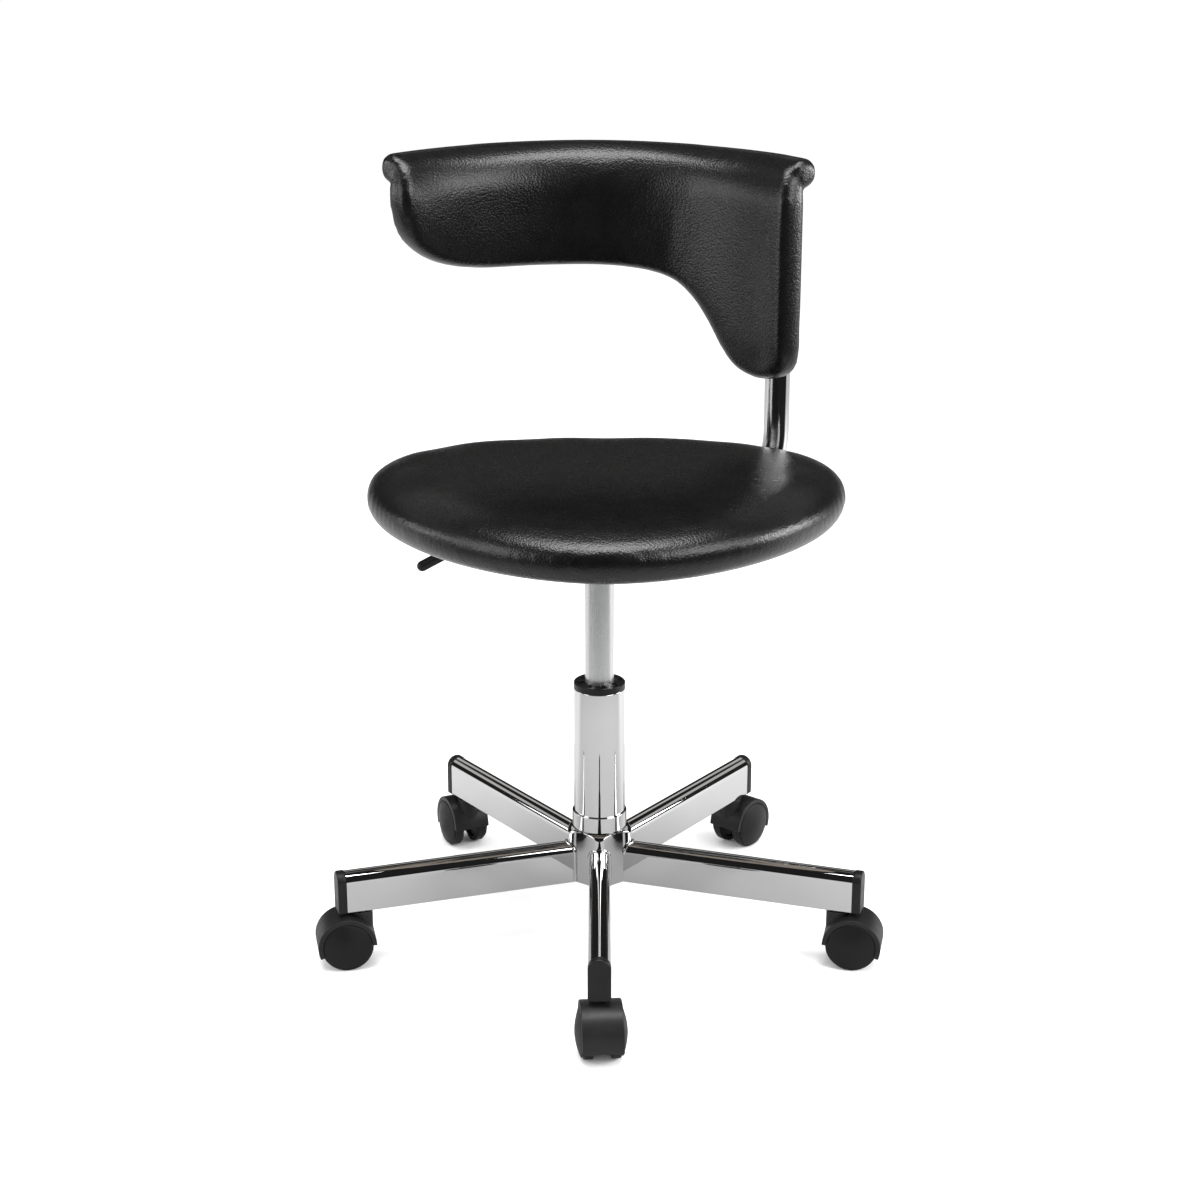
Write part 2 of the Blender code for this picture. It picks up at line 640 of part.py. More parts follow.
def back_tube_path():
    """From inside the ring's stub, out under the seat, round the bend and straight up."""
    radius = BACK_BEND_TOP - BACK_RUN_Z
    bend_steps = 7
    path = [(SWING_RING_R + 3, 0, BACK_RUN_Z)]
    for k in range(bend_steps + 1):
        angle = math.pi / 2 * k / bend_steps
        path.append((BACK_REACH - radius * (1 - math.sin(angle)), 0,
                     BACK_RUN_Z + radius * (1 - math.cos(angle))))
    path.append((BACK_REACH, 0, BACK_TUBE_TOP))
    return path


def bend_rings(path, radius, steps):
    """Rings square to the path's own direction, with the two straight ends kept true."""
    rings = []
    for i, point in enumerate(path):
        before = Vector(path[i]) - Vector(path[max(i - 1, 0)])
        after = Vector(path[min(i + 1, len(path) - 1)]) - Vector(path[i])
        ahead = (before.normalized() + after.normalized()).normalized()
        up = Vector((0, 1, 0)).cross(ahead)
        rings.append([Vector(point) + Vector((0, 1, 0)) * x + up * y for x, y in circle(radius, steps)])
    return rings


def build_back_tube(arm_axis, chrome):
    path = back_tube_path()
    outside = bend_rings(path, BACK_TUBE_R, 20)
    inside = bend_rings(path, BACK_TUBE_R - BACK_TUBE_WALL, 20)
    make_object("back_tube", loft(outside + inside[::-1], capped=False), chrome, arm_axis)


# ---------------------------------------------------------------- back pad

def smooth_outline(corners, steps=2):
    """Catmull-Rom curve through the corners of an open outline."""
    curve = []
    last = len(corners) - 1
    for i in range(last):
        p0, p1, p2, p3 = (Vector(corners[min(max(j, 0), last)]) for j in range(i - 1, i + 3))
        for k in range(steps):
            t = k / steps
            curve.append(((p1 * 2) + (p2 - p0) * t + (p0 * 2 - p1 * 5 + p2 * 4 - p3) * t ** 2
                          + (p1 * 3 - p0 - p2 * 3 + p3) * t ** 3) / 2)
    curve.append(Vector(corners[last]))
    return curve


def flat_outline(inset):
    """Pad outline on the unrolled cylinder as (arc length, height), moved inward by the inset."""
    mid = (PAD_FRONT_R + PAD_BACK_R) / 2
    curve = [Vector((math.radians(p.x) * mid, p.y)) for p in smooth_outline(PAD_OUTLINE)]
    last = len(curve) - 1
    moved_in = []
    for i, point in enumerate(curve):
        along = (curve[min(i + 1, last)] - curve[max(i - 1, 0)]).normalized()
        inward = Vector((-along.y, along.x))
        if i in (0, last):
            inward.y -= 1
        moved_in.append(point + inward * inset)
    return moved_in


def roll_up(target, slices=16):
    """Cut a flat slab into narrow strips and wrap them on the pad's cylinder. In the slab, X is
    arc length, Y is distance from the cylinder's axis and Z is height. Every slab is cut at the
    same places, so that slabs which lie on each other stay parallel."""
    mid = (PAD_FRONT_R + PAD_BACK_R) / 2 * MM
    low = math.radians(PAD_OUTLINE[0][0]) * mid
    high = math.radians(PAD_OUTLINE[-1][0]) * mid
    mesh = target.data
    work = bmesh.new()
    work.from_mesh(mesh)
    for k in range(1, slices):
        everything = work.verts[:] + work.edges[:] + work.faces[:]
        place = Vector((low + (high - low) * k / slices, 0, 0))
        bmesh.ops.bisect_plane(work, geom=everything, dist=1e-7, plane_co=place, plane_no=(1, 0, 0))
    bmesh.ops.triangulate(work, faces=work.faces)
    for vert in work.verts:
        angle = vert.co.x / mid
        radius = vert.co.y
        vert.co.x = PAD_X * MM + radius * math.sin(angle)
        vert.co.y = PAD_Y * MM + radius * math.cos(angle)
    bmesh.ops.recalc_face_normals(work, faces=work.faces)
    work.to_mesh(mesh)
    work.free()


def slab(layers, top=math.inf):
    """Flat slab whose rings are (distance from the pad's axis, inset of the outline)."""
    return loft([[(p.x, radius, min(p.y, top)) for p in flat_outline(inset)]
                 for radius, inset in layers])


def lip_point(angle):
    """Middle of the rolled lip along the pad's top."""
    turn = math.radians(angle)
    height = LIP_Z - LIP_DROP * (angle / 50) ** 2
    return Vector((PAD_X + LIP_CENTRE_R * math.sin(turn), PAD_Y + LIP_CENTRE_R * math.cos(turn), height))


def lip_shape(steps=18):
    """Rolled lip: a round bead along the pad's top edge, with flat ends and a rounded edge on them."""
    edge = math.degrees(LIP_ROUND / LIP_CENTRE_R)
    ends = [(0.0, LIP_R - LIP_ROUND), (edge * 0.3, LIP_R - LIP_ROUND * 0.3)]
    stations = [(LIP_LEFT + turn, radius) for turn, radius in ends]
    start, stop = LIP_LEFT + edge, LIP_RIGHT - edge
    stations += [(start + (stop - start) * k / steps, LIP_R) for k in range(steps + 1)]
    stations += [(LIP_RIGHT - turn, radius) for turn, radius in reversed(ends)]
    rings = []
    for angle, radius in stations:
        turn = math.radians(angle)
        out = Vector((math.sin(turn), math.cos(turn), 0))
        centre = lip_point(angle)
        rings.append([centre + out * x + Vector((0, 0, 1)) * y for x, y in circle(radius, 12)])
    return loft(rings)


def build_pad(arm_axis, stool, leather, black):
    """Padded front with its rolled lip, and the rigid shell behind it with the tube's socket."""
    layers = [(PAD_FRONT_R, PAD_ROUND), (PAD_FRONT_R + PAD_ROUND / 3, PAD_ROUND / 3),
              (PAD_FRONT_R + PAD_ROUND, 0), (PAD_BACK_R - PAD_ROUND, 0),
              (PAD_BACK_R - PAD_ROUND / 3, PAD_ROUND / 3), (PAD_BACK_R, PAD_ROUND)]
    cushion = make_object("back_cushion", slab(layers), leather, stool)
    roll_up(cushion)
    add(cushion, "back_cushion_lip", lip_shape(), stool)

    shell_front = PAD_BACK_R + GAP
    layers = [(radius, SHELL_INSET) for radius in (shell_front, shell_front + SHELL_THICKNESS)]
    shell = make_object("back_shell", slab(layers, SHELL_TOP), black, stool)
    roll_up(shell)
    boss = lathe(rod_profile(BACK_TUBE_R + BOSS_WALL, BOSS_BOTTOM, BACK_TUBE_TOP + 12, 2.0), 20)
    add(shell, "back_shell_boss", moved(boss, x=BACK_REACH), arm_axis)
    bore = lathe(rod_profile(BACK_TUBE_R + GAP, BOSS_BOTTOM - 20, BACK_TUBE_TOP + 2), 20)
    cut(shell, "back_shell_bore", moved(bore, x=BACK_REACH), arm_axis)


def main():
    for old in list(bpy.data.objects):
        bpy.data.objects.remove(old, do_unlink=True)
    chrome = material("chrome", (0.80, 0.80, 0.82), 0.06, 1.0)
    grey = material("gas_spring_grey", (0.46, 0.47, 0.48), 0.35, 0.9)
    steel = material("steel", (0.55, 0.55, 0.56), 0.3, 1.0)
    black = material("black_plastic", (0.018, 0.018, 0.02), 0.45)
    leather = material("black_leather", (0.012, 0.012, 0.013), 0.42)
    wood = material("plywood", (0.50, 0.36, 0.22), 0.7)

    stool = make_empty("column_axis", None, (COLUMN_X, COLUMN_Y, 0))
    arm_axis = make_empty("back_arm_axis", stool, turn=BACK_ANGLE)
    build_hub(stool, chrome)
    for number in range(1, ARM_COUNT + 1):
        build_arm(number, stool, chrome, black)
        build_caster(number, stool, black, steel)
    build_column(stool, chrome, black, steel)
    build_gas_spring(stool, grey, black, steel)
    build_mechanism(stool, black, steel)
    build_lever(stool, black)
    build_board(stool, wood)
    build_cushion(stool, leather)
    build_swing_ring(arm_axis, black, steel)
    build_back_tube(arm_axis, chrome)
    build_pad(arm_axis, stool, leather, black)


main()
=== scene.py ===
"""Looks of the rolling stylist stool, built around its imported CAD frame.

Shapes are worked out in millimetres from the column's axis, with heights above the floor, and are
turned into metres when they are placed. The stool faces -Y.
"""
import json
import math

import bmesh
import bpy
import numpy as np
from mathutils import Matrix, Vector


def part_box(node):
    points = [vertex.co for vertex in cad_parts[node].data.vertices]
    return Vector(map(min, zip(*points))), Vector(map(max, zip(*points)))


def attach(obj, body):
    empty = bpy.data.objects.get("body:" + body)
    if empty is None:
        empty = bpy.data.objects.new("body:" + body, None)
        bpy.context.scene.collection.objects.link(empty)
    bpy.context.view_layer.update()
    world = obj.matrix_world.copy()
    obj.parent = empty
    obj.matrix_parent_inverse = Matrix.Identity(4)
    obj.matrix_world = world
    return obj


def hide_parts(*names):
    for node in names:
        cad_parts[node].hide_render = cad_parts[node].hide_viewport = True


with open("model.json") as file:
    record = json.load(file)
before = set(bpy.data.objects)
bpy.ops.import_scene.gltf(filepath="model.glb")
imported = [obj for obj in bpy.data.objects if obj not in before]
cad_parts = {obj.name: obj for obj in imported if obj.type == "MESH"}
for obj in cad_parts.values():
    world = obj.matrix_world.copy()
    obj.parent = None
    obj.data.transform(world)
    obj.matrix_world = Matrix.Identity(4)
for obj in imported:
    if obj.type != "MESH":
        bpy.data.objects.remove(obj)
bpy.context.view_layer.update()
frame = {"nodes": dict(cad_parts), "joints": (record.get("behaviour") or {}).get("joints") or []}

MM = 0.001
MIX_A = 6                      # the sockets of a Mix node that mixes colours
MIX_B = 7
MIX_RESULT = 2


# ---------------------------------------------------------------- places from the frame

JOINTS = {joint["name"]: joint for joint in frame["joints"]}
COLUMN = Vector((*JOINTS["seat_swivel"]["pos_m"][:2], 0.0))
STOOL = Matrix.Translation(COLUMN) @ Matrix.Scale(MM, 4)


def span(node):
    """Lowest and highest corner of a CAD node, in millimetres from the column's axis."""
    low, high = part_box(node)
    return (low - COLUMN) / MM, (high - COLUMN) / MM


def turned(angle):
    """The column's frame turned about Z by an angle in degrees."""
    return STOOL @ Matrix.Rotation(math.radians(angle), 4, "Z")


# ---------------------------------------------------------------- driving sizes

ARM_COUNT = 5
ARM_ARC_STEPS = 28
FRONT_ARM_ANGLE = -90.0
ARM_CORNER = 1.2
ARM_HALF = 10.0
ARM_END = 257.0
ARM_ROOT = 27.0                # the arms start inside the hub
CAP_GAP = 0.3
CAP_THICK = 8.0
CAP_PLUG_INSET = 2.2
CAP_PLUG_DEPTH = 6.0
CAP_PROUD = 0.6
CAP_ROUND = 1.8
HUB_VERTEX_R = 35.0
HUB_FILLET_R = 8.0
HUB_SHOULDER_Z = 98.5
WELD_R = 1.7

COLUMN_WALL = 2.0
BUSH_STEP = 2.3                # how much slimmer the bush is inside the tube
POCKET_OUTER_R = 22.2
POCKET_MIDDLE_R = 19.6
POCKET_INNER_R = 17.0
POCKET_DEPTH = 2.0
GAS_WALL = 2.0
GAS_MOUTH_R = 4.3
GAS_MOUTH_DEPTH = 8.0

HOOD_HALF = 19.0
HOOD_R = 28.3
HOOD_WALL = 2.0
HOOD_RIM_R = 23.7
HOOD_RIM = 1.2
HOOD_BACK_ANGLE = -22.0
HOOD_FRONT_ANGLE = 180.0
HOOD_CORE_HALF = 7.5
NECK_R = 10.5
WHEEL_INNER = 8.2
WHEEL_TREAD_END = 16.6
WHEEL_DISC_R = 23.1
WHEEL_DISC_FOOT = 17.5
WHEEL_DISC_Y = 19.2
WHEEL_OUTER = 24.0

LEVER_R = 4.0
LEVER_GRIP_R = 5.2
LEVER_ELBOW = (-136.0, 0.0, 396.6)
LEVER_TIP = (-173.0, 0.0, 376.3)

SEAT_BACK_POWER = 2.21
SEAT_FRONT_POWER = 1.82
SEAT_EDGE_R = 23.5
SEAT_TOP_SLOPE = 42.0
SEAT_CROWN = 1.5

BACK_ANGLE = 35.6
BACK_REACH = 214.8
BACK_TUBE_R = 12.5
BACK_RUN_Z = 385.5
BACK_BEND_TOP = 482.0
RING_BORE = 20.3
RING_R = 30.0
STUB_R = 14.0
STUB_END = 48.0
RING_WELD_R = 1.5

SHELL_THICK = 4.4
SHELL_INSET = 12.0
SHELL_ROUND = 2.2
SHELL_TOP = 721.0
SOCKET_WALL = 4.5
SOCKET_FOOT = 556.0

PAD_X = -13.0
PAD_Y = -76.0
PAD_FRONT_R = 231.0
PAD_BACK_R = 257.0
LIP_R = 13.2
LIP_CENTRE_R = 258.6
LIP_LEFT = -46.3
LIP_RIGHT = 53.4
LIP_CHAMFER = 4.5
LIP_Z = 743.0
LIP_DROP = 4.6
CURL_HEIGHT = 44.0
SLAB_TOP = 748.0
PAD_EDGE_DEPTH = 13.0
PAD_EDGE_WIDTH = 9.0
PAD_BACK_EDGE = 6.0
PAD_SPARE = 1.0                # what smoothing takes off again
CURL_NARROW = 0.05
PAD_OUTLINE = (                # angle about the pad's axis, height: left side, foot, leg, right side
    (-46.9, 748.0), (-46.9, 706.0), (-44.4, 674.0), (-37.0, 650.0), (-26.0, 639.3),
    (-10.0, 638.2), (4.0, 638.0), (14.0, 634.6), (21.0, 626.5), (26.0, 610.0),
    (30.0, 588.0), (33.6, 565.0), (37.4, 548.0), (42.5, 540.2), (47.5, 541.2),
    (51.6, 549.0), (53.4, 566.0), (53.6, 600.0), (53.6, 748.0),
)


ROOM_TONE = 1.12
WALL_TONES = (                 # sine of the elevation, brightness that glossy surfaces mirror
    (0.0, 0.30), (0.05, 0.02), (0.44, 0.02), (0.46, 0.70),
    (0.60, 0.70), (0.62, 0.02), (0.80, 0.02), (0.93, 0.22),
)
FLOOR_MIRRORED = 0.37          # reflectance of the floor near the stool, seen in glossy surfaces
FLOOR_BEHIND = 0.57            # and of the floor behind it
MIRROR_FADE = (0.6, 1.5)       # distances between which the mirrored floor fades to dark
MIRROR_BEHIND = (-0.3, 0.2)    # and those behind the stool between which it gets bright again
SOFTBOXES = (                  # name, place, target, size, radiance
    ("overhead", (0.0, -0.45, 2.3), (0, 0, 0.4), (1.8, 0.8), 14.0),
    ("left_side", (-2.0, -1.1, 0.95), (0, 0, 0.7), (0.9, 1.6), 4.5),
    ("right_side", (1.75, -1.35, 1.5), (0, 0, 0.65), (1.3, 1.2), 8.0),
    ("left_low", (-2.2, 0.2, 0.8), (0, 0, 0.45), (1.0, 0.5), 5.5),
    ("right_low", (2.2, 0.2, 0.8), (0, 0, 0.45), (1.0, 0.5), 20.0),
)


# ---------------------------------------------------------------- shapes as (points, faces)

def loft(rings, capped=True):
    """Skin rings of equal point count. Uncapped, the last ring joins the first."""
    count = len(rings[0])
    points = [Vector(point) for ring in rings for point in ring]
    faces = []
    spans = len(rings) - 1 if capped else len(rings)
    for step in range(spans):
        low = step * count
        high = (step + 1) % len(rings) * count
        for k in range(count):
            nxt = (k + 1) % count
            faces.append((low + k, low + nxt, high + nxt, high + k))
    if capped:
        faces.append(tuple(range(count)))
        faces.append(tuple(range((len(rings) - 1) * count, len(rings) * count)))
    return points, faces


def lathe(profile, steps=96):
    """Turn a closed profile of (radius, height) about Z. Points at radius 0 become poles."""
    points = []
    rows = []
    for radius, height in profile:
        if radius < 1e-6:
            rows.append([len(points)] * steps)
            points.append(Vector((0, 0, height)))
            continue
        rows.append(list(range(len(points), len(points) + steps)))
        for k in range(steps):
            angle = 2 * math.pi * k / steps
            points.append(Vector((radius * math.cos(angle), radius * math.sin(angle), height)))
    faces = []
    for i, row in enumerate(rows):
        after = rows[(i + 1) % len(rows)]
        for k in range(steps):
            nxt = (k + 1) % steps
            corners = tuple(dict.fromkeys((row[k], row[nxt], after[nxt], after[k])))
            if len(corners) > 2:
                faces.append(corners)
    return points, faces


def rounded(corners, steps=5):
    """Polygon from (x, y, radius) corners, each with a radius replaced by an arc."""
    outline = []
    for i, (x, y, radius) in enumerate(corners):
        here = Vector((x, y))
        if not radius:
            outline.append(here)
            continue
        before = (Vector(corners[i - 1][:2]) - here).normalized()
        after = (Vector(corners[(i + 1) % len(corners)][:2]) - here).normalized()
        half = before.angle(after) / 2
        centre = here + (before + after).normalized() * (radius / math.sin(half))
        start = here + before * (radius / math.tan(half)) - centre
        stop = here + after * (radius / math.tan(half)) - centre
        turn = math.atan2(start.x * stop.y - start.y * stop.x, start.dot(stop))
        for k in range(steps + 1):
            part = turn * k / steps
            outline.append(centre + Matrix.Rotation(part, 2) @ start)
    return outline


def sector(centre, radius, start, stop, steps):
    """Points of an arc, with angles in degrees."""
    points = []
    for k in range(steps + 1):
        angle = math.radians(start + (stop - start) * k / steps)
        points.append(Vector(centre) + radius * Vector((math.cos(angle), math.sin(angle))))
    return points


def along_y(shape):
    """Lay a shape that was turned about Z along Y."""
    points, faces = shape
    return [Vector((p.x, p.z, -p.y)) for p in points], faces


def tube(path, radii, steps=48):
    """Round tube along a path, with its ends closed."""
    path = [Vector(point) for point in path]
    rings = []
    ahead = (path[1] - path[0]).normalized()
    side = ahead.orthogonal().normalized()
    for i, centre in enumerate(path):
        before = path[i] - path[max(i - 1, 0)]
        after = path[min(i + 1, len(path) - 1)] - path[i]
        ahead = (before.normalized() + after.normalized()).normalized()
        side = (side - ahead * side.dot(ahead)).normalized()
        up = ahead.cross(side)
        rings.append([centre + (side * math.cos(a) + up * math.sin(a)) * radii[i]
                      for a in (2 * math.pi * k / steps for k in range(steps))])
    return loft(rings)


def rounded_plate(outline_at, low, high, edge, steps=4):
    """Plate between two heights with a rounded rim. outline_at(inset) gives its outline."""
    rings = []
    for k in range(steps + 1):
        angle = math.pi / 2 * k / steps
        inset = edge * (1 - math.sin(angle))
        rings.append([(x, y, low + edge * (1 - math.cos(angle))) for x, y in outline_at(inset)])
    for k in range(steps + 1):
        angle = math.pi / 2 * k / steps
        inset = edge * (1 - math.cos(angle))
        rings.append([(x, y, high - edge * (1 - math.sin(angle))) for x, y in outline_at(inset)])
    return loft(rings)


# ---------------------------------------------------------------- pieces

def make_mesh(name, shape, place):
    points, faces = shape
    mesh = bpy.data.meshes.new(name)
    mesh.from_pydata([place @ Vector(point) for point in points], [], faces)
    work = bmesh.new()
    work.from_mesh(mesh)
    bmesh.ops.recalc_face_normals(work, faces=work.faces)
    work.to_mesh(mesh)
    work.free()
    made = bpy.data.objects.new(name, mesh)
    bpy.context.scene.collection.objects.link(made)
    return made


def smooth(piece, sharp=35.0):
    """Smooth shading that keeps hard edges, and keeps large faces truly flat or straight."""
    piece.data.shade_smooth()
    piece.data.set_sharp_from_angle(angle=math.radians(sharp))
    weighted = piece.modifiers.new("weighted_normals", "WEIGHTED_NORMAL")
    weighted.keep_sharp = True


def finish_piece(piece, look, body, stands_for=()):
    piece.data.materials.clear()
    piece.data.materials.append(look)
    for node in stands_for:
        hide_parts(node)
    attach(piece, body)
    return piece


def add_piece(name, shape, look, body, stands_for=(), place=STOOL, sharp=35.0):
    """A hard piece: mesh, smooth shading, material, and the body it rides on."""
    piece = make_mesh(name, shape, place)
    smooth(piece, sharp)
    return finish_piece(piece, look, body, stands_for)


# ---------------------------------------------------------------- materials

class Look:
    """A material under construction: its node tree and the Principled shader in it."""

    def __init__(self, name, color, roughness, metallic=0.0):
        self.material = bpy.data.materials.new(name)
        self.material.use_nodes = True
        self.tree = self.material.node_tree
        self.shader = self.tree.nodes["Principled BSDF"]
        self.shader.inputs["Base Color"].default_value = (*color, 1.0)
        self.shader.inputs["Roughness"].default_value = roughness
        self.shader.inputs["Metallic"].default_value = metallic
        self.coords = self.tree.nodes.new("ShaderNodeTexCoord").outputs["Object"]

    def node(self, kind, **settings):
        made = self.tree.nodes.new(f"ShaderNode{kind}")
        for key, value in settings.items():
            setattr(made, key, value)
        return made

    def link(self, source, target):
        self.tree.links.new(source, target)

    def stretched(self, scale):
        """Object coordinates, scaled by axis."""
        mapping = self.node("Mapping")
        mapping.inputs["Scale"].default_value = scale
        self.link(self.coords, mapping.inputs["Vector"])
        return mapping.outputs["Vector"]

    def noise(self, scale, detail=2.0, stretch=(1, 1, 1), distortion=0.0):
        made = self.node("TexNoise")
        made.inputs["Scale"].default_value = scale
        made.inputs["Detail"].default_value = detail
        made.inputs["Distortion"].default_value = distortion
        self.link(self.stretched(stretch), made.inputs["Vector"])
        return made.outputs["Fac"]

    def pebbles(self, scale):
        """Rounded cells: 1 on their tops, 0 in the creases between them."""
        made = self.node("TexVoronoi", feature="F1")
        made.inputs["Scale"].default_value = scale
        self.link(self.coords, made.inputs["Vector"])
        away = made.outputs["Distance"]
        return self.ranged(self.math("MULTIPLY", away, away), 0.0, 0.6, 1.0, 0.0)

    def ranged(self, value, low, high, new_low, new_high):
        made = self.node("MapRange")
        limits = {"From Min": low, "From Max": high, "To Min": new_low, "To Max": new_high}
        for key, setting in limits.items():
            made.inputs[key].default_value = setting
        self.link(value, made.inputs["Value"])
        return made.outputs["Result"]

    def math(self, operation, first, second):
        made = self.node("Math", operation=operation)
        self.link(first, made.inputs[0])
        if isinstance(second, float):
            made.inputs[1].default_value = second
        else:
            self.link(second, made.inputs[1])
        return made.outputs["Value"]

    def vary_roughness(self, value, low, high):
        self.link(self.ranged(value, 0.3, 0.7, low, high), self.shader.inputs["Roughness"])

    def vary_color(self, value, dark, light):
        ramp = self.node("ValToRGB")
        ramp.color_ramp.elements[0].position = 0.3
        ramp.color_ramp.elements[0].color = (*dark, 1.0)
        ramp.color_ramp.elements[1].position = 0.7
        ramp.color_ramp.elements[1].color = (*light, 1.0)
        self.link(value, ramp.inputs["Fac"])
        self.link(ramp.outputs["Color"], self.shader.inputs["Base Color"])

    def bump(self, height, depth, strength=1.0, under=None):
        """Bump with its depth in metres. Under is another bump's normal."""
        made = self.node("Bump")
        made.inputs["Strength"].default_value = strength
        made.inputs["Distance"].default_value = depth
        self.link(height, made.inputs["Height"])
        if under is not None:
            self.link(under, made.inputs["Normal"])
        self.link(made.outputs["Normal"], self.shader.inputs["Normal"])
        return made.outputs["Normal"]


def chrome_look():
    """Polished plating: nearly a mirror, with a trace of polishing haze and ripple."""
    look = Look("chrome_plating", (0.56, 0.56, 0.56), 0.03, metallic=1.0)
    haze = look.noise(22.0, detail=4.0)
    look.vary_roughness(haze, 0.015, 0.05)
    look.vary_color(look.noise(9.0), (0.54, 0.54, 0.545), (0.58, 0.58, 0.58))
    look.bump(look.noise(35.0, detail=1.0), 0.00002, strength=0.35)
    return look.material


def satin_tube_look():
    """Ground and lacquered gas spring tube: fine vertical grain, satin grey."""
    look = Look("satin_grey_tube", (0.50, 0.505, 0.51), 0.3, metallic=0.9)
    grain = look.noise(900.0, detail=3.0, stretch=(1, 1, 0.04))
    look.vary_roughness(grain, 0.24, 0.36)
    streaks = look.noise(40.0, detail=3.0, stretch=(1, 1, 0.2))
    look.vary_color(streaks, (0.46, 0.465, 0.47), (0.54, 0.545, 0.55))
    look.bump(grain, 0.00003, strength=0.3)
    return look.material


def steel_look():
    look = Look("plain_steel", (0.55, 0.55, 0.56), 0.3, metallic=1.0)
    grain = look.noise(420.0, detail=3.0, stretch=(1, 1, 0.3))
    look.vary_roughness(grain, 0.22, 0.4)
    look.vary_color(look.noise(60.0, detail=4.0), (0.48, 0.48, 0.49), (0.60, 0.60, 0.61))
    look.bump(grain, 0.00003, strength=0.4)
    return look.material


def plastic_look(name, dark, light, rough_low, rough_high, grain=2600.0, depth=0.00006):
    """Moulded black plastic with a fine spark-eroded grain."""
    look = Look(name, light, rough_high)
    fine = look.noise(grain, detail=2.0)
    look.vary_roughness(look.noise(70.0, detail=4.0), rough_low, rough_high)
    look.vary_color(look.noise(30.0, detail=3.0), dark, light)
    look.shader.inputs["Specular IOR Level"].default_value = 0.22
    look.bump(fine, depth, strength=0.6)
    return look.material


def painted_look():
    """Black powder coat with orange peel."""
    look = Look("black_powder_coat", (0.02, 0.02, 0.021), 0.38)
    peel = look.noise(650.0, detail=2.0)
    look.vary_roughness(look.noise(90.0, detail=3.0), 0.32, 0.46)
    look.vary_color(look.noise(45.0, detail=3.0), (0.015, 0.015, 0.016), (0.026, 0.026, 0.028))
    look.bump(peel, 0.0001, strength=0.5)
    return look.material


def leather_look():
    """Black upholstery leather: small rounded pebbles with fine creases between them."""
    look = Look("black_leather", (0.003, 0.003, 0.003), 0.4)
    height = look.math("ADD", look.pebbles(480.0), look.math("MULTIPLY", look.pebbles(1100.0), 0.4))
    creased = look.math("ADD", height, look.math("MULTIPLY", look.noise(260.0, detail=2.0), 0.15))
    soft = look.bump(look.noise(28.0, detail=2.0), 0.0006, strength=0.1)
    look.bump(creased, 0.0002, strength=0.6, under=soft)
    look.vary_roughness(look.noise(140.0, detail=3.0), 0.27, 0.30)
    look.vary_color(look.noise(55.0, detail=4.0), (0.0014, 0.0014, 0.0015), (0.0026, 0.0026, 0.0028))
    look.shader.inputs["Specular IOR Level"].default_value = 0.38
    return look.material


def plywood_look():
    """Beech plywood: long grain on the face, thin plies on the edge."""
    look = Look("plywood", (0.20, 0.17, 0.14), 0.6)
    grain = look.noise(60.0, detail=6.0, stretch=(0.35, 3.0, 1), distortion=0.6)
    look.vary_color(grain, (0.15, 0.125, 0.10), (0.25, 0.215, 0.18))
    look.vary_roughness(grain, 0.5, 0.7)
    plies = look.node("TexWave", wave_type="BANDS", bands_direction="Z")
    plies.inputs["Scale"].default_value = 110.0
    look.link(look.coords, plies.inputs["Vector"])
    under = look.bump(plies.outputs["Fac"], 0.0001, strength=0.3)
    look.bump(grain, 0.0001, strength=0.4, under=under)
    return look.material


CHROME = chrome_look()
SATIN = satin_tube_look()
STEEL = steel_look()
PAINT = painted_look()
LEATHER = leather_look()
PLYWOOD = plywood_look()
HOOD_PLASTIC = plastic_look("hood_plastic", (0.006, 0.006, 0.0065), (0.010, 0.010, 0.0105), 0.36, 0.48)
WHEEL_PLASTIC = plastic_look("wheel_plastic", (0.003, 0.003, 0.0032), (0.005, 0.005, 0.0053), 0.40, 0.52)
CAP_PLASTIC = plastic_look("cap_plastic", (0.004, 0.004, 0.0042), (0.007, 0.007, 0.0073), 0.30, 0.42)
SHELL_PLASTIC = plastic_look("shell_plastic", (0.014, 0.014, 0.015), (0.022, 0.022, 0.023), 0.36, 0.50,
                             grain=1500.0, depth=0.0001)


# ---------------------------------------------------------------- base

def pentagon_radius(angle):
    """Distance from the axis to the hub's edge, in radians from its front vertex."""
    slice_angle = 2 * math.pi / ARM_COUNT
    half = slice_angle / 2
    off = abs((angle + half) % slice_angle - half)
    centre = HUB_VERTEX_R - HUB_FILLET_R / math.cos(half)
    tangent = math.atan2(HUB_FILLET_R * math.sin(half), centre + HUB_FILLET_R * math.cos(half))
    if off < tangent:
        return centre * math.cos(off) + math.sqrt(HUB_FILLET_R ** 2 - (centre * math.sin(off)) ** 2)
    return HUB_VERTEX_R * math.cos(half) / math.cos(half - off)


def hub_ring(height, widest=math.inf, inset=0.0, steps=180):
    """Hub outline at a height, cut off at the widest radius the dome allows there."""
    ring = []
    for k in range(steps):
        angle = 2 * math.pi * k / steps
        radius = min(pentagon_radius(angle) - inset, widest)
        turn = angle + math.radians(FRONT_ARM_ANGLE)
        ring.append((radius * math.cos(turn), radius * math.sin(turn), height))
    return ring


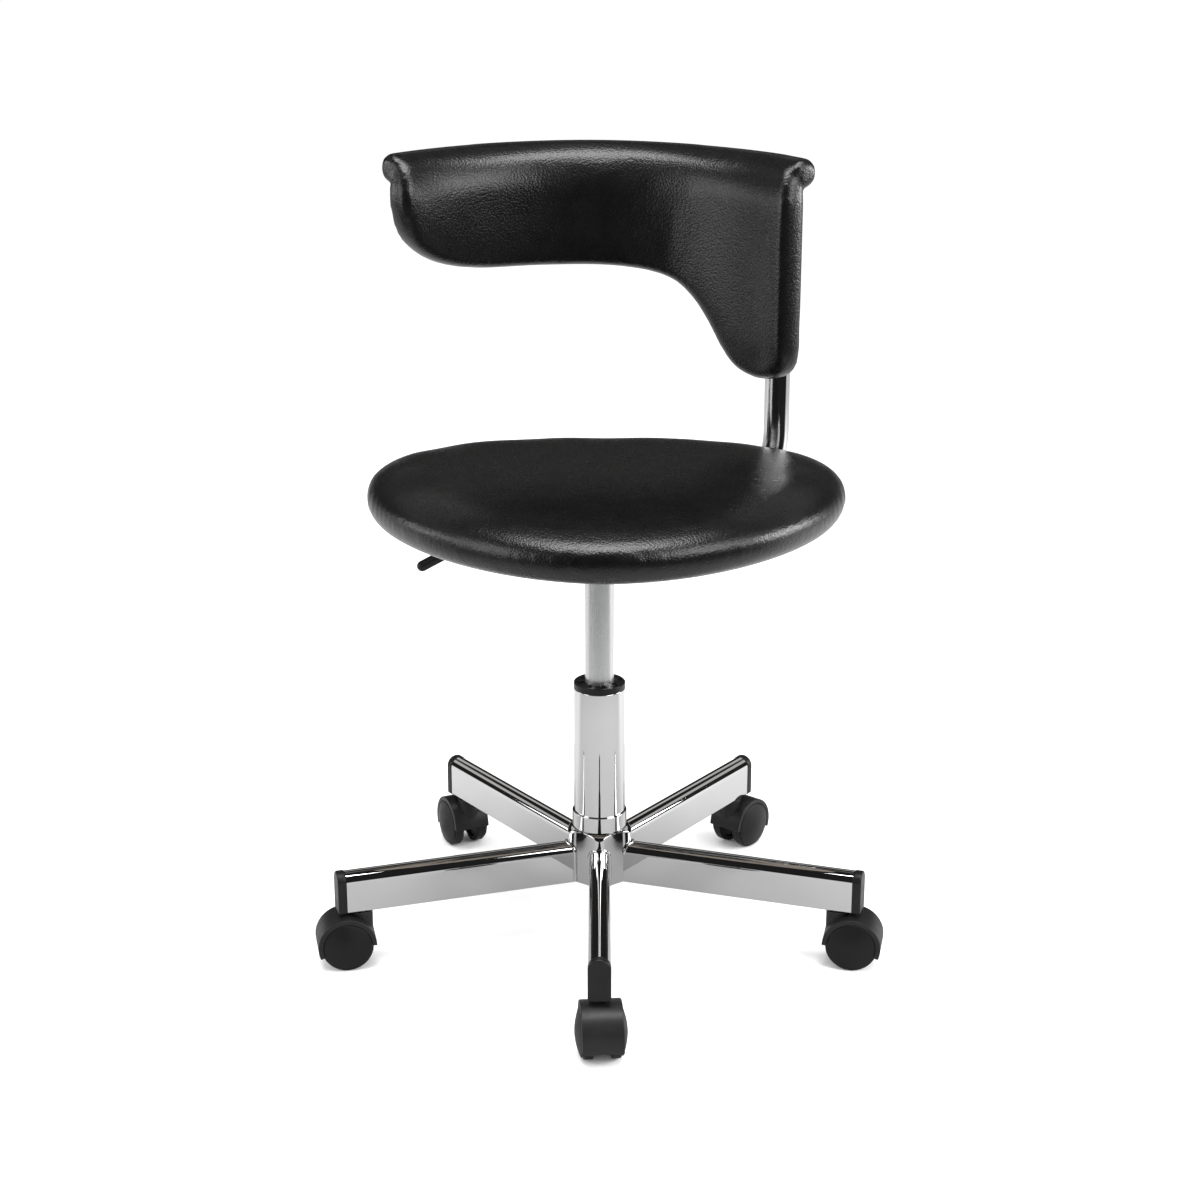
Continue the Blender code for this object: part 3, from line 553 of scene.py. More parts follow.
def build_hub():
    """Five-sided hub under a dome that rises to the collar."""
    low, high = span("base_hub")
    bore = span("column_tube")[1].x + 0.2
    collar_r = span("column_collar")[1].x
    edge = 1.0
    rings = [hub_ring(low.z, inset=edge), hub_ring(low.z + edge * 0.3, inset=edge * 0.3),
             hub_ring(low.z + edge)]
    dome_steps = 16
    for k in range(dome_steps + 1):
        angle = math.pi / 2 * k / dome_steps
        widest = collar_r + (HUB_VERTEX_R - collar_r) * math.cos(angle)
        rings.append(hub_ring(HUB_SHOULDER_Z + (high.z - HUB_SHOULDER_Z) * math.sin(angle), widest))
    for height in (high.z, low.z):
        rings.append([Vector((x, y, 0)).normalized() * bore + Vector((0, 0, height))
                      for x, y, _ in hub_ring(height)])
    add_piece("hub_casting", loft(rings, capped=False), CHROME, "base", ["base_hub"], sharp=50)


def arm_outline(inset=0.0):
    """Section of an arm: flat sides, fully rounded top, small bottom corners."""
    low, high = span("base_arm_1")
    half = ARM_HALF - inset
    bottom = low.z + inset
    crown = high.z - ARM_HALF
    corner = max(ARM_CORNER - inset, 0.3)
    outline = [Vector((half, bottom + corner))]
    outline += sector((0, crown), half, 0, 180, ARM_ARC_STEPS)
    outline += sector((-half + corner, bottom + corner), corner, 180, 270, 4)
    outline += sector((half - corner, bottom + corner), corner, 270, 360, 4)[:-1]
    return outline


def arm_ring(x, inset=0.0):
    return [(x, y, z) for y, z in arm_outline(inset)]


def hub_face(across):
    """How far out the hub's side stands, at a distance across from an arm's middle."""
    apothem = HUB_VERTEX_R * math.cos(math.pi / ARM_COUNT)
    half = math.pi / ARM_COUNT
    flat = (apothem - abs(across) * math.sin(half)) / math.cos(half)
    return min(flat, pentagon_radius(0.0))


def build_arm(number):
    place = turned(FRONT_ARM_ANGLE + 360 / ARM_COUNT * (number - 1))
    rings = [arm_ring(ARM_ROOT), arm_ring(ARM_END - 0.3), arm_ring(ARM_END, 0.3)]
    add_piece(f"arm_tube_{number}", loft(rings), CHROME, "base", [f"base_arm_{number}"],
              place=place, sharp=40)

    sides_and_top = arm_outline()[:ARM_ARC_STEPS + 2]
    weld = [(hub_face(y) + WELD_R * 0.35, y, z) for y, z in sides_and_top]
    bead = [WELD_R * (1 + 0.06 * math.sin(2.6 * k)) for k in range(len(weld))]
    add_piece(f"arm_weld_{number}", tube(weld, bead, 12), CHROME, "base", place=place, sharp=60)

    start = ARM_END + CAP_GAP
    end = start + CAP_THICK
    rings = [arm_ring(ARM_END - CAP_PLUG_DEPTH, CAP_PLUG_INSET), arm_ring(ARM_END, CAP_PLUG_INSET),
             arm_ring(start, -CAP_PROUD + 0.4), arm_ring(start + 0.4, -CAP_PROUD)]
    for k in range(6):
        angle = math.pi / 2 * k / 5
        rings.append(arm_ring(end - CAP_ROUND * (1 - math.sin(angle)),
                              CAP_ROUND * (1 - math.cos(angle)) - CAP_PROUD))
    rings.append(arm_ring(end - 0.25, CAP_ROUND + 1.4))
    rings.append(arm_ring(end - 0.3, CAP_ROUND + 3.0))
    add_piece(f"end_cap_{number}", loft(rings), CAP_PLASTIC, "base",
              [f"arm_end_cap_{number}"], place=place, sharp=45)


# ---------------------------------------------------------------- column and gas spring

def build_column():
    low, high = span("column_tube")
    outer = high.x
    inner = outer - COLUMN_WALL
    profile = rounded([(inner, low.z, 0), (outer, low.z, 0.6), (outer, high.z, 0.7), (inner, high.z, 0.5)])
    add_piece("column_chrome", lathe(profile), CHROME, "base", ["column_tube"])

    low, high = span("column_collar")
    profile = rounded([(outer, low.z, 0), (high.x, low.z, 0.5), (high.x, high.z, 0.8), (outer, high.z, 0)])
    add_piece("collar_chrome", lathe(profile), CHROME, "base", ["column_collar"])


def build_bush():
    """Guide bush: flange on the tube, with shallow mould pockets round its top."""
    low, high = span("column_bush")
    bore = span("gas_cylinder")[1].x + 0.3
    outer = high.x
    slim = outer - BUSH_STEP
    tube_top = span("column_tube")[1].z
    steps = 96
    profile = rounded([(bore, low.z, 0), (slim, low.z, 0.4), (slim, tube_top, 0), (outer, tube_top, 0.3),
                       (outer, high.z, 1.0), (POCKET_OUTER_R, high.z, 0), (POCKET_MIDDLE_R, high.z, 0),
                       (POCKET_INNER_R, high.z, 0), (bore, high.z, 0)])
    points, faces = lathe(profile, steps)
    pocket_rows = (len(profile) - 3, len(profile) - 2)
    sunk = [Vector(point) for point in points]
    for row in pocket_rows:
        for k in range(steps):
            if k % 12 in (2, 3, 4, 5):
                sunk[row * steps + k].z -= POCKET_DEPTH
    add_piece("bush_flange", (sunk, faces), CAP_PLASTIC, "base", ["column_bush"], sharp=30)


def build_gas_spring():
    low, high = span("gas_cylinder")
    outer = high.x
    inner = outer - GAS_WALL
    mouth = high.z - GAS_MOUTH_DEPTH
    profile = rounded([(inner, low.z, 0), (outer, low.z, 0.5), (outer, high.z - 4, 3.0),
                       (outer - 1.2, high.z, 0.8), (GAS_MOUTH_R, high.z, 0.4), (GAS_MOUTH_R, mouth, 0),
                       (inner, mouth, 0)])
    add_piece("gas_tube", lathe(profile), SATIN, "seat", ["gas_cylinder"])


# ---------------------------------------------------------------- casters

def caster_places(number):
    """The caster's frame, with +X along its trail, and the axle's distance and height in it."""
    swivel = Vector(JOINTS[f"caster_{number}_swivel"]["pos_m"])
    axle = Vector(JOINTS[f"caster_{number}_wheel_a_roll"]["pos_m"])
    trail = axle - swivel
    turn = math.atan2(trail.y, trail.x)
    place = Matrix.Translation((swivel.x, swivel.y, 0)) @ Matrix.Rotation(turn, 4, "Z") @ Matrix.Scale(MM, 4)
    return place, math.hypot(trail.x, trail.y) / MM, axle.z / MM


def hood_section(inset):
    """Section of the hood across its width, as (distance across, radius): a channel with rims."""
    side = HOOD_HALF - inset
    rim_inside = HOOD_HALF - HOOD_RIM + inset
    top = HOOD_R - inset
    under = HOOD_R - HOOD_WALL + inset
    foot = HOOD_RIM_R + inset
    edge = max(1.1 - inset, 0.3)
    small = 0.25
    return rounded([(side, foot, small), (side, top, edge), (-side, top, edge), (-side, foot, small),
                    (-rim_inside, foot, small), (-rim_inside, under, small),
                    (rim_inside, under, small), (rim_inside, foot, small)], steps=4)


def build_hood(number, place, trail, height):
    name = f"caster_{number}"
    steps = 64
    edge_turn = math.degrees(0.35 / HOOD_R)
    stations = [(HOOD_BACK_ANGLE, 0.35), (HOOD_BACK_ANGLE + edge_turn, 0.0)]
    first, last = HOOD_BACK_ANGLE + edge_turn, HOOD_FRONT_ANGLE - edge_turn
    stations += [(first + (last - first) * k / steps, 0.0) for k in range(1, steps + 1)]
    stations.append((HOOD_FRONT_ANGLE, 0.35))
    rings = []
    for angle, inset in stations:
        turn = math.radians(angle)
        rings.append([(trail + r * math.cos(turn), y, height + r * math.sin(turn))
                      for y, r in hood_section(inset)])
    add_piece(f"{name}_hood_shell", loft(rings), HOOD_PLASTIC, name, [f"{name}_hood"],
              place=place, sharp=50)

    def core_outline(inset):
        radius = HOOD_R - HOOD_WALL / 2 - inset
        arc = sector((trail, height), radius, HOOD_BACK_ANGLE + inset, HOOD_FRONT_ANGLE - inset, 40)
        return arc + sector((trail, height - 2), 11 - inset, 225, 320, 12)

    points, faces = rounded_plate(core_outline, -HOOD_CORE_HALF, HOOD_CORE_HALF, 0.8, steps=2)
    core = [Vector((p.x, p.z, p.y)) for p in points], faces
    add_piece(f"{name}_hood_core", core, HOOD_PLASTIC, name, place=place, sharp=50)

    top = span(f"{name}_hood")[1].z
    rings = []
    for radius in (0.2, NECK_R * 0.35, NECK_R * 0.7, NECK_R):
        rings.append([(x, y, height + math.sqrt((HOOD_R - 1) ** 2 - (x - trail) ** 2))
                      for x, y in sector((0, 0), radius, 0, 352.5, 47)])
    for radius, z in ((NECK_R, top - 0.8), (NECK_R - 0.25, top - 0.25), (NECK_R - 0.8, top), (0.2, top)):
        rings.append([(x, y, z) for x, y in sector((0, 0), radius, 0, 352.5, 47)])
    add_piece(f"{name}_hood_neck", loft(rings), HOOD_PLASTIC, name, place=place, sharp=50)


def wheel_shape():
    """Tread with rounded shoulders, a step into the hood's rim, and the domed disc."""
    wheel_r = span("caster_1_wheel_a")[1].z / 2
    dome = []
    dome_steps = 14
    for k in range(1, dome_steps + 1):
        part = k / dome_steps
        dome.append(Vector((WHEEL_DISC_R * (1 - part),
                            WHEEL_DISC_Y + (WHEEL_OUTER - WHEEL_DISC_Y) * math.sin(math.pi / 2 * part))))
    start = dome[0]
    profile = rounded([(3.2, WHEEL_INNER + 2, 0), (9.0, WHEEL_INNER, 0.5), (12.0, WHEEL_INNER + 3, 0.8),
                       (19.5, WHEEL_INNER + 3, 0.8), (21.0, WHEEL_INNER, 0.5),
                       (wheel_r, WHEEL_INNER, 1.2), (wheel_r, WHEEL_TREAD_END, 0.8),
                       (WHEEL_DISC_R, WHEEL_DISC_FOOT, 0.2), (WHEEL_DISC_R, WHEEL_DISC_Y - 0.2, 0.7),
                       (start.x, start.y, 0)])
    profile = profile[:-1] + dome + [Vector((0, WHEEL_INNER + 2))]
    return along_y(lathe(profile, 72))


def build_caster(number):
    place, trail, height = caster_places(number)
    build_hood(number, place, trail, height)
    shape = wheel_shape()
    at_axle = Matrix.Translation((trail, 0, height))
    for letter, turn in (("a", 0), ("b", math.pi)):
        wheel_place = place @ at_axle @ Matrix.Rotation(turn, 4, "Z")
        node = f"caster_{number}_wheel_{letter}"
        add_piece(f"{node}_disc", shape, WHEEL_PLASTIC, node, [node],
                  place=wheel_place, sharp=40)


# ---------------------------------------------------------------- back arm

def build_back_tube():
    """Chrome tube: out of the swing ring's stub, under the seat, round one bend and up the pad."""
    place = turned(BACK_ANGLE)
    top = span("back_tube")[1].z
    radius = BACK_BEND_TOP - BACK_RUN_Z
    path = [(33.0, 0, BACK_RUN_Z), (70.0, 0, BACK_RUN_Z)]
    bend_steps = 40
    for k in range(bend_steps + 1):
        angle = math.pi / 2 * k / bend_steps
        path.append((BACK_REACH - radius * (1 - math.sin(angle)), 0,
                     BACK_RUN_Z + radius * (1 - math.cos(angle))))
    path += [(BACK_REACH, 0, (BACK_BEND_TOP + top) / 2), (BACK_REACH, 0, top)]
    add_piece("back_tube_chrome", tube(path, [BACK_TUBE_R] * len(path), 72), CHROME, "back",
              ["back_tube"], place=place, sharp=50)


def build_swing_ring():
    """Ring on the mechanism's socket, with the stub that grips the back tube."""
    low, high = span("swing_ring")
    foot = low.z + 1.5
    profile = rounded([(RING_BORE, foot, 0.6), (RING_R, foot, 1.2), (RING_R, high.z, 1.2),
                       (RING_BORE, high.z, 0.6)])
    add_piece("swing_ring_body", lathe(profile), PAINT, "back", ["swing_ring"])
    place = turned(BACK_ANGLE)
    path = [(x, 0, BACK_RUN_Z) for x in (RING_R - 4, STUB_END - 1.5, STUB_END - 0.5, STUB_END)]
    stub = tube(path, [STUB_R, STUB_R, STUB_R - 0.4, STUB_R - 1.3], 72)
    add_piece("swing_ring_stub", stub, PAINT, "back", place=place, sharp=50)
    bead = []
    for k in range(49):
        angle = 2 * math.pi * k / 48
        across, up = STUB_R * math.cos(angle), STUB_R * math.sin(angle)
        if abs(up) < 12.0:
            bead.append((math.sqrt(RING_R ** 2 - across ** 2) + 0.5, across, BACK_RUN_Z + up))
    add_piece("swing_ring_weld", tube(bead, [RING_WELD_R] * len(bead), 10), PAINT, "back",
              place=place, sharp=60)


# ---------------------------------------------------------------- lever

def build_lever():
    """Round lever from above the release button, through its boss, out to a drooping grip."""
    pivot = (Vector(JOINTS["lever_tilt"]["pos_m"]) - COLUMN) / MM
    elbow = Vector(LEVER_ELBOW)
    tip = Vector(LEVER_TIP)
    bend = Vector((-46, 0, pivot.z - 1))
    out = (tip - elbow).normalized()
    level = (elbow - bend).normalized()
    path = [Vector((5, 0, pivot.z)), Vector((4, 0, pivot.z)), pivot, bend, bend + level * 4]
    path += [elbow - level * 8, elbow - level * 3, elbow + out * 3, elbow + out * 8, tip - out * 8]
    radii = [3.4] + [LEVER_R] * (len(path) - 1)
    add_piece("lever_rod", tube(path, radii, 32), PAINT, "lever", ["lift_lever"], sharp=50)
    path = [elbow + out * 6, elbow + out * 7, tip - out * LEVER_GRIP_R]
    radii = [LEVER_R + 0.4, LEVER_GRIP_R, LEVER_GRIP_R]
    for k in range(1, 7):
        angle = math.pi / 2 * k / 6
        path.append(tip - out * LEVER_GRIP_R * (1 - math.sin(angle)))
        radii.append(max(LEVER_GRIP_R * math.cos(angle), 0.2))
    add_piece("lever_grip", tube(path, radii, 40), CAP_PLASTIC, "lever", sharp=50)
    boss = along_y(lathe(rounded([(0, -7, 0), (6.6, -7, 0.6), (6.6, 7, 0.6), (0, 7, 0)]), 48))
    add_piece("lever_boss", boss, PAINT, "lever", place=STOOL @ Matrix.Translation(pivot))


# ---------------------------------------------------------------- leather

def seat_outline(inset, steps=144):
    """Plan outline of the seat: two superellipse halves, the front one longer and more pointed."""
    low, high = span("seat_cushion")
    middle = (low.x + high.x) / 2
    half = (high.x - low.x) / 2 - inset
    outline = []
    for k in range(steps):
        angle = 2 * math.pi * k / steps
        back = math.sin(angle) >= 0
        power = SEAT_BACK_POWER if back else SEAT_FRONT_POWER
        reach = (high.y if back else -low.y) - inset
        outline.append((middle + half * math.copysign(abs(math.cos(angle)) ** (2 / power), math.cos(angle)),
                        reach * math.copysign(abs(math.sin(angle)) ** (2 / power), math.sin(angle))))
    return outline


def seat_blank():
    """The cushion before it is stuffed: full round below, sloping off more gently above."""
    low, high = span("seat_cushion")
    middle = (low.z + high.z) / 2
    spare = 0.4                 # what smoothing takes off again
    arc_steps = 20
    rings = []
    for k in range(arc_steps + 1):
        angle = math.pi * (k / arc_steps - 0.5)
        reach = SEAT_TOP_SLOPE if angle > 0 else SEAT_EDGE_R
        inset = reach * (1 - math.cos(angle)) - spare
        rise = (SEAT_EDGE_R + (SEAT_CROWN if angle > 0 else 0)) * math.sin(angle)
        rings.append([(x, y, middle + rise) for x, y in seat_outline(inset)])
    return loft(rings)


def smooth_outline(corners, steps=5):
    """Catmull-Rom curve through the corners of an open outline."""
    curve = []
    last = len(corners) - 1
    for i in range(last):
        p0, p1, p2, p3 = (Vector(corners[min(max(j, 0), last)]) for j in range(i - 1, i + 3))
        for k in range(steps):
            t = k / steps
            curve.append(((p1 * 2) + (p2 - p0) * t + (p0 * 2 - p1 * 5 + p2 * 4 - p3) * t ** 2
                          + (p1 * 3 - p0 - p2 * 3 + p3) * t ** 3) / 2)
    curve.append(Vector(corners[last]))
    return curve


def flat_outline(inset):
    """Pad outline on the unrolled cylinder as (arc length, height), moved inward by the inset."""
    mid = (PAD_FRONT_R + PAD_BACK_R) / 2
    curve = [Vector((math.radians(p.x) * mid, p.y)) for p in smooth_outline(PAD_OUTLINE)]
    last = len(curve) - 1
    moved_in = []
    for i, point in enumerate(curve):
        along = (curve[min(i + 1, last)] - curve[max(i - 1, 0)]).normalized()
        inward = Vector((-along.y, along.x))
        if i in (0, last):
            inward.y -= 1
        moved_in.append(point + inward * inset)
    return moved_in


def slab(name, layers, place, top=math.inf, slices=90):
    """Flat slab cut into narrow strips and wrapped on the pad's cylinder. Its layers are (distance
    from the pad's axis, inset of the outline)."""
    mid = (PAD_FRONT_R + PAD_BACK_R) / 2
    rings = [[(p.x, radius, min(p.y, top)) for p in flat_outline(inset)] for radius, inset in layers]
    made = make_mesh(name, loft(rings), Matrix.Identity(4))
    work = bmesh.new()
    work.from_mesh(made.data)
    low = min(v.co.x for v in work.verts)
    high = max(v.co.x for v in work.verts)
    for k in range(1, slices):
        everything = work.verts[:] + work.edges[:] + work.faces[:]
        bmesh.ops.bisect_plane(work, geom=everything, dist=1e-4,
                               plane_co=(low + (high - low) * k / slices, 0, 0), plane_no=(1, 0, 0))
    for vert in work.verts:
        angle = vert.co.x / mid
        radius = vert.co.y
        vert.co.x = PAD_X + radius * math.sin(angle)
        vert.co.y = PAD_Y + radius * math.cos(angle)
    work.transform(place)
    bmesh.ops.recalc_face_normals(work, faces=work.faces)
    work.to_mesh(made.data)
    work.free()
    return made


def lip_point(angle):
    """Middle of the rolled lip along the pad's top."""
    turn = math.radians(angle)
    height = LIP_Z - LIP_DROP * (angle / 50) ** 2
    return Vector((PAD_X + LIP_CENTRE_R * math.sin(turn), PAD_Y + LIP_CENTRE_R * math.cos(turn), height))


def lip_shape(spare, steps=90, end_steps=4):
    """Rolled lip: a round bead with chamfered flat ends."""
    radius = LIP_R + spare
    chamfer = math.degrees(LIP_CHAMFER / LIP_CENTRE_R)
    ends = []
    for k in range(end_steps):
        cut = LIP_CHAMFER * (1 - math.sin(math.pi / 2 * k / end_steps))
        ends.append((chamfer - math.degrees(cut / LIP_CENTRE_R), radius - cut))
    first, last = LIP_LEFT + chamfer, LIP_RIGHT - chamfer
    places = [(LIP_LEFT + turn, size) for turn, size in ends]
    places += [(first + (last - first) * k / steps, radius) for k in range(steps + 1)]
    places += [(LIP_RIGHT - turn, size) for turn, size in reversed(ends)]
    rings = []
    for angle, size in places:
        turn = math.radians(angle)
        out = Vector((math.sin(turn), math.cos(turn), 0))
        centre = lip_point(angle)
        rings.append([centre + (out * x + Vector((0, 0, 1)) * y)
                      for x, y in sector((0, 0), size, 0, 352.5, 47)])
    return loft(rings)


def join(pieces, name):
    """Join meshes into the first object."""
    work = bmesh.new()
    for piece in pieces:
        work.from_mesh(piece.data)
    work.to_mesh(pieces[0].data)
    work.free()
    for piece in pieces[1:]:
        bpy.data.objects.remove(piece, do_unlink=True)
    pieces[0].name = name
    return pieces[0]


def apply_modifiers(piece):
    """Bake the modifier stack into the mesh."""
    graph = bpy.context.evaluated_depsgraph_get()
    baked = bpy.data.meshes.new_from_object(piece.evaluated_get(graph))
    old = piece.data
    piece.modifiers.clear()
    piece.data = baked
    bpy.data.meshes.remove(old)


def remesh(piece, voxel, smooth_times):
    """Even quads all over, then smoothed so that joined shapes flow into each other."""
    change = piece.modifiers.new("remesh", "REMESH")
    change.mode = "VOXEL"
    change.voxel_size = voxel
    change = piece.modifiers.new("relax", "SMOOTH")
    change.factor = 0.5
    change.iterations = smooth_times
    apply_modifiers(piece)


def even_out(mesh, values, rounds):
    """Average a vector per vertex with its neighbours, several times over."""
    edges = np.array([edge.vertices[:] for edge in mesh.edges])
    count = np.bincount(edges.ravel(), minlength=len(values))[:, None]
    for _ in range(rounds):
        total = np.zeros_like(values)
        np.add.at(total, edges[:, 0], values[edges[:, 1]])
        np.add.at(total, edges[:, 1], values[edges[:, 0]])
        values = (values + total / count) / 2
    return values


def stuff(piece, held, cap, pressure=4.0, frames=16):
    """Blow the cover up as cloth with the held points pinned. The move of each point is capped and
    evened out, so that the cover ends up taut."""
    before = np.array([v.co[:] for v in piece.data.vertices])
    pinned = piece.vertex_groups.new(name="held")
    pinned.add([v.index for v in piece.data.vertices if held(v.co)], 1.0, "REPLACE")
    cloth = piece.modifiers.new("cloth", "CLOTH")
    settings = cloth.settings
    settings.quality = 5
    settings.mass = 0.3
    settings.tension_stiffness = 25
    settings.compression_stiffness = 25
    settings.shear_stiffness = 12
    settings.bending_stiffness = 6
    settings.use_pressure = True
    settings.uniform_pressure_force = pressure
    settings.vertex_group_mass = pinned.name
    settings.effector_weights.gravity = 0
    scene = bpy.context.scene
    scene.frame_start = 1
    scene.frame_end = frames
    for number in range(1, frames + 1):
        scene.frame_set(number)
    graph = bpy.context.evaluated_depsgraph_get()
    after = np.array([v.co[:] for v in piece.evaluated_get(graph).data.vertices])
    piece.modifiers.clear()
    piece.vertex_groups.clear()
    moves = after - before
    lengths = np.linalg.norm(moves, axis=1)[:, None]
    moves *= np.minimum(1.0, cap / np.maximum(lengths, 1e-9))
    moved = before + even_out(piece.data, moves, rounds=40)
    piece.data.vertices.foreach_set("co", moved.ravel())
    scene.frame_set(1)


def relax(piece, times, factor=0.5):
    change = piece.modifiers.new("relax", "SMOOTH")
    change.factor = factor
    change.iterations = times
    apply_modifiers(piece)


def subdivide(piece):
    change = piece.modifiers.new("subdivide", "SUBSURF")
    change.levels = 1
    change.render_levels = 1
    apply_modifiers(piece)


def build_seat():
    cushion = make_mesh("seat_leather", seat_blank(), STOOL)
    remesh(cushion, 0.005, 4)
    low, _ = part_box("seat_cushion")
    stuff(cushion, lambda co: co.z < low.z + 0.002, cap=0.003)
    subdivide(cushion)
    relax(cushion, 2)
    cushion.data.shade_smooth()
    finish_piece(cushion, LEATHER, "seat", ["seat_cushion"])


def curl_back(piece):
    """Lean the pad's front back over its top in one curve that ends in the lip, and narrow it
    there so that the lip's ends stand out."""
    to_pad = Matrix.Translation((-PAD_X, -PAD_Y, 0)) @ STOOL.inverted()
    from_pad = to_pad.inverted()
    for vert in piece.data.vertices:
        point = to_pad @ vert.co
        radius = math.hypot(point.x, point.y)
        angle = math.atan2(point.x, point.y)
        crest = lip_point(math.degrees(angle)).z + LIP_R
        below = crest - CURL_HEIGHT
        if point.z < below:
            continue
        height = below + (point.z - below) * (CURL_HEIGHT - 1.0) / (SLAB_TOP - below)
        part = min((height - below) / CURL_HEIGHT, 1.0)
        radius += (1 - math.sqrt(1 - part * part)) * max(LIP_CENTRE_R - 2.0 - radius, 0.0)
        angle *= 1 - CURL_NARROW * part * part
        vert.co = from_pad @ Vector((radius * math.sin(angle), radius * math.cos(angle), height))


def build_pad():
    steps = 8
    turns = [math.pi / 2 * k / steps for k in range(steps + 1)]
    front = PAD_FRONT_R - PAD_SPARE
    layers = [(front + PAD_EDGE_DEPTH * (1 - math.cos(a)), PAD_EDGE_WIDTH * (1 - math.sin(a)) - PAD_SPARE)
              for a in turns]
    layers += [(PAD_BACK_R - PAD_BACK_EDGE * (1 - math.cos(a)),
                PAD_BACK_EDGE * (1 - math.sin(a)) - PAD_SPARE) for a in reversed(turns)]
    layers.sort()
    body = slab("back_leather_slab", layers, STOOL)
    remesh(body, 0.003, 3)
    curl_back(body)
    lip = make_mesh("back_leather_lip", lip_shape(PAD_SPARE), STOOL)
    pad = join([body, lip], "back_leather")
    remesh(pad, 0.003, 4)
    axis = COLUMN + Vector((PAD_X, PAD_Y, 0)) * MM
    held_r = (PAD_BACK_R - 2.5) * MM
    held_top = (LIP_Z - LIP_R - 6) * MM

    def held(co):
        return math.hypot(co.x - axis.x, co.y - axis.y) > held_r and co.z < held_top

    stuff(pad, held, cap=0.002)
    subdivide(pad)
    relax(pad, 2)
    pad.data.shade_smooth()
    finish_piece(pad, LEATHER, "back", ["back_cushion"])


def build_shell():
    """Rigid shell behind the pad with a rounded rim, and the boss that takes the tube."""
    front = PAD_BACK_R + 0.3
    layers = [(front, SHELL_INSET)]
    for k in range(6):
        angle = math.pi / 2 * k / 5
        layers.append((front + SHELL_THICK - SHELL_ROUND * (1 - math.sin(angle)),
                       SHELL_INSET + SHELL_ROUND * (1 - math.cos(angle))))
    shell = slab("back_shell_cover", layers, STOOL, top=SHELL_TOP)
    smooth(shell, 40)
    finish_piece(shell, SHELL_PLASTIC, "back", ["back_shell"])

    boss_r = BACK_TUBE_R + SOCKET_WALL
    top = span("back_tube")[1].z + 12
    profile = rounded([(0, SOCKET_FOOT, 0), (boss_r, SOCKET_FOOT, 1.5), (boss_r, top, 5.0), (0, top, 0)])
    place = turned(BACK_ANGLE) @ Matrix.Translation((BACK_REACH, 0, 0))
    add_piece("back_shell_socket", lathe(profile, 72), SHELL_PLASTIC, "back", place=place)


# ---------------------------------------------------------------- CAD nodes that stay

def dress_nodes():
    """Give every CAD node that is shown a finished material."""
    looks = {"seat_mechanism": PAINT, "seat_board": PLYWOOD, "cylinder_gland": CAP_PLASTIC}
    for name, node in frame["nodes"].items():
        node.data.materials.clear()
        node.data.materials.append(looks.get(name, STEEL))


# ---------------------------------------------------------------- studio

def floor_look():
    """Pale matt floor. Glossy surfaces mirror it toned down, and dark in front away from the stool."""
    look = Look("pale_floor", (0.9, 0.9, 0.9), 0.9)
    look.shader.inputs["Specular IOR Level"].default_value = 0.0
    look.vary_color(look.noise(3.0, detail=3.0), (0.896, 0.896, 0.896), (0.904, 0.904, 0.904))
    mirrored = look.node("BsdfDiffuse")
    distance = look.node("VectorMath", operation="LENGTH")
    look.link(look.coords, distance.inputs[0])
    near = look.ranged(distance.outputs["Value"], *MIRROR_FADE, FLOOR_MIRRORED, 0.01)
    place = look.node("SeparateXYZ")
    look.link(look.coords, place.inputs[0])
    behind = look.ranged(place.outputs["Y"], *MIRROR_BEHIND, 0.0, FLOOR_BEHIND)
    look.link(look.math("MAXIMUM", near, behind), mirrored.inputs["Color"])
    path = look.node("LightPath")
    mix = look.node("MixShader")
    look.link(path.outputs["Is Glossy Ray"], mix.inputs["Fac"])
    look.link(look.shader.outputs["BSDF"], mix.inputs[1])
    look.link(mirrored.outputs["BSDF"], mix.inputs[2])
    look.link(mix.outputs["Shader"], look.tree.nodes["Material Output"].inputs["Surface"])
    return look.material


def build_floor():
    half = 30.0
    mesh = bpy.data.meshes.new("studio_floor")
    mesh.from_pydata([(-half, -half, 0), (half, -half, 0), (half, half, 0), (-half, half, 0)], [],
                     [(0, 1, 2, 3)])
    floor = bpy.data.objects.new("studio_floor", mesh)
    bpy.context.scene.collection.objects.link(floor)
    mesh.materials.append(floor_look())


def softbox(name, place, target, size, radiance):
    """Rectangular light aimed at a target, with its brightness as radiance."""
    data = bpy.data.lights.new(name, "AREA")
    data.shape = "RECTANGLE"
    data.size, data.size_y = size
    data.energy = radiance * size[0] * size[1] * math.pi
    box = bpy.data.objects.new(name, data)
    bpy.context.scene.collection.objects.link(box)
    box.location = place
    box.rotation_euler = (Vector(target) - Vector(place)).to_track_quat("-Z", "Y").to_euler()
    box.visible_camera = False


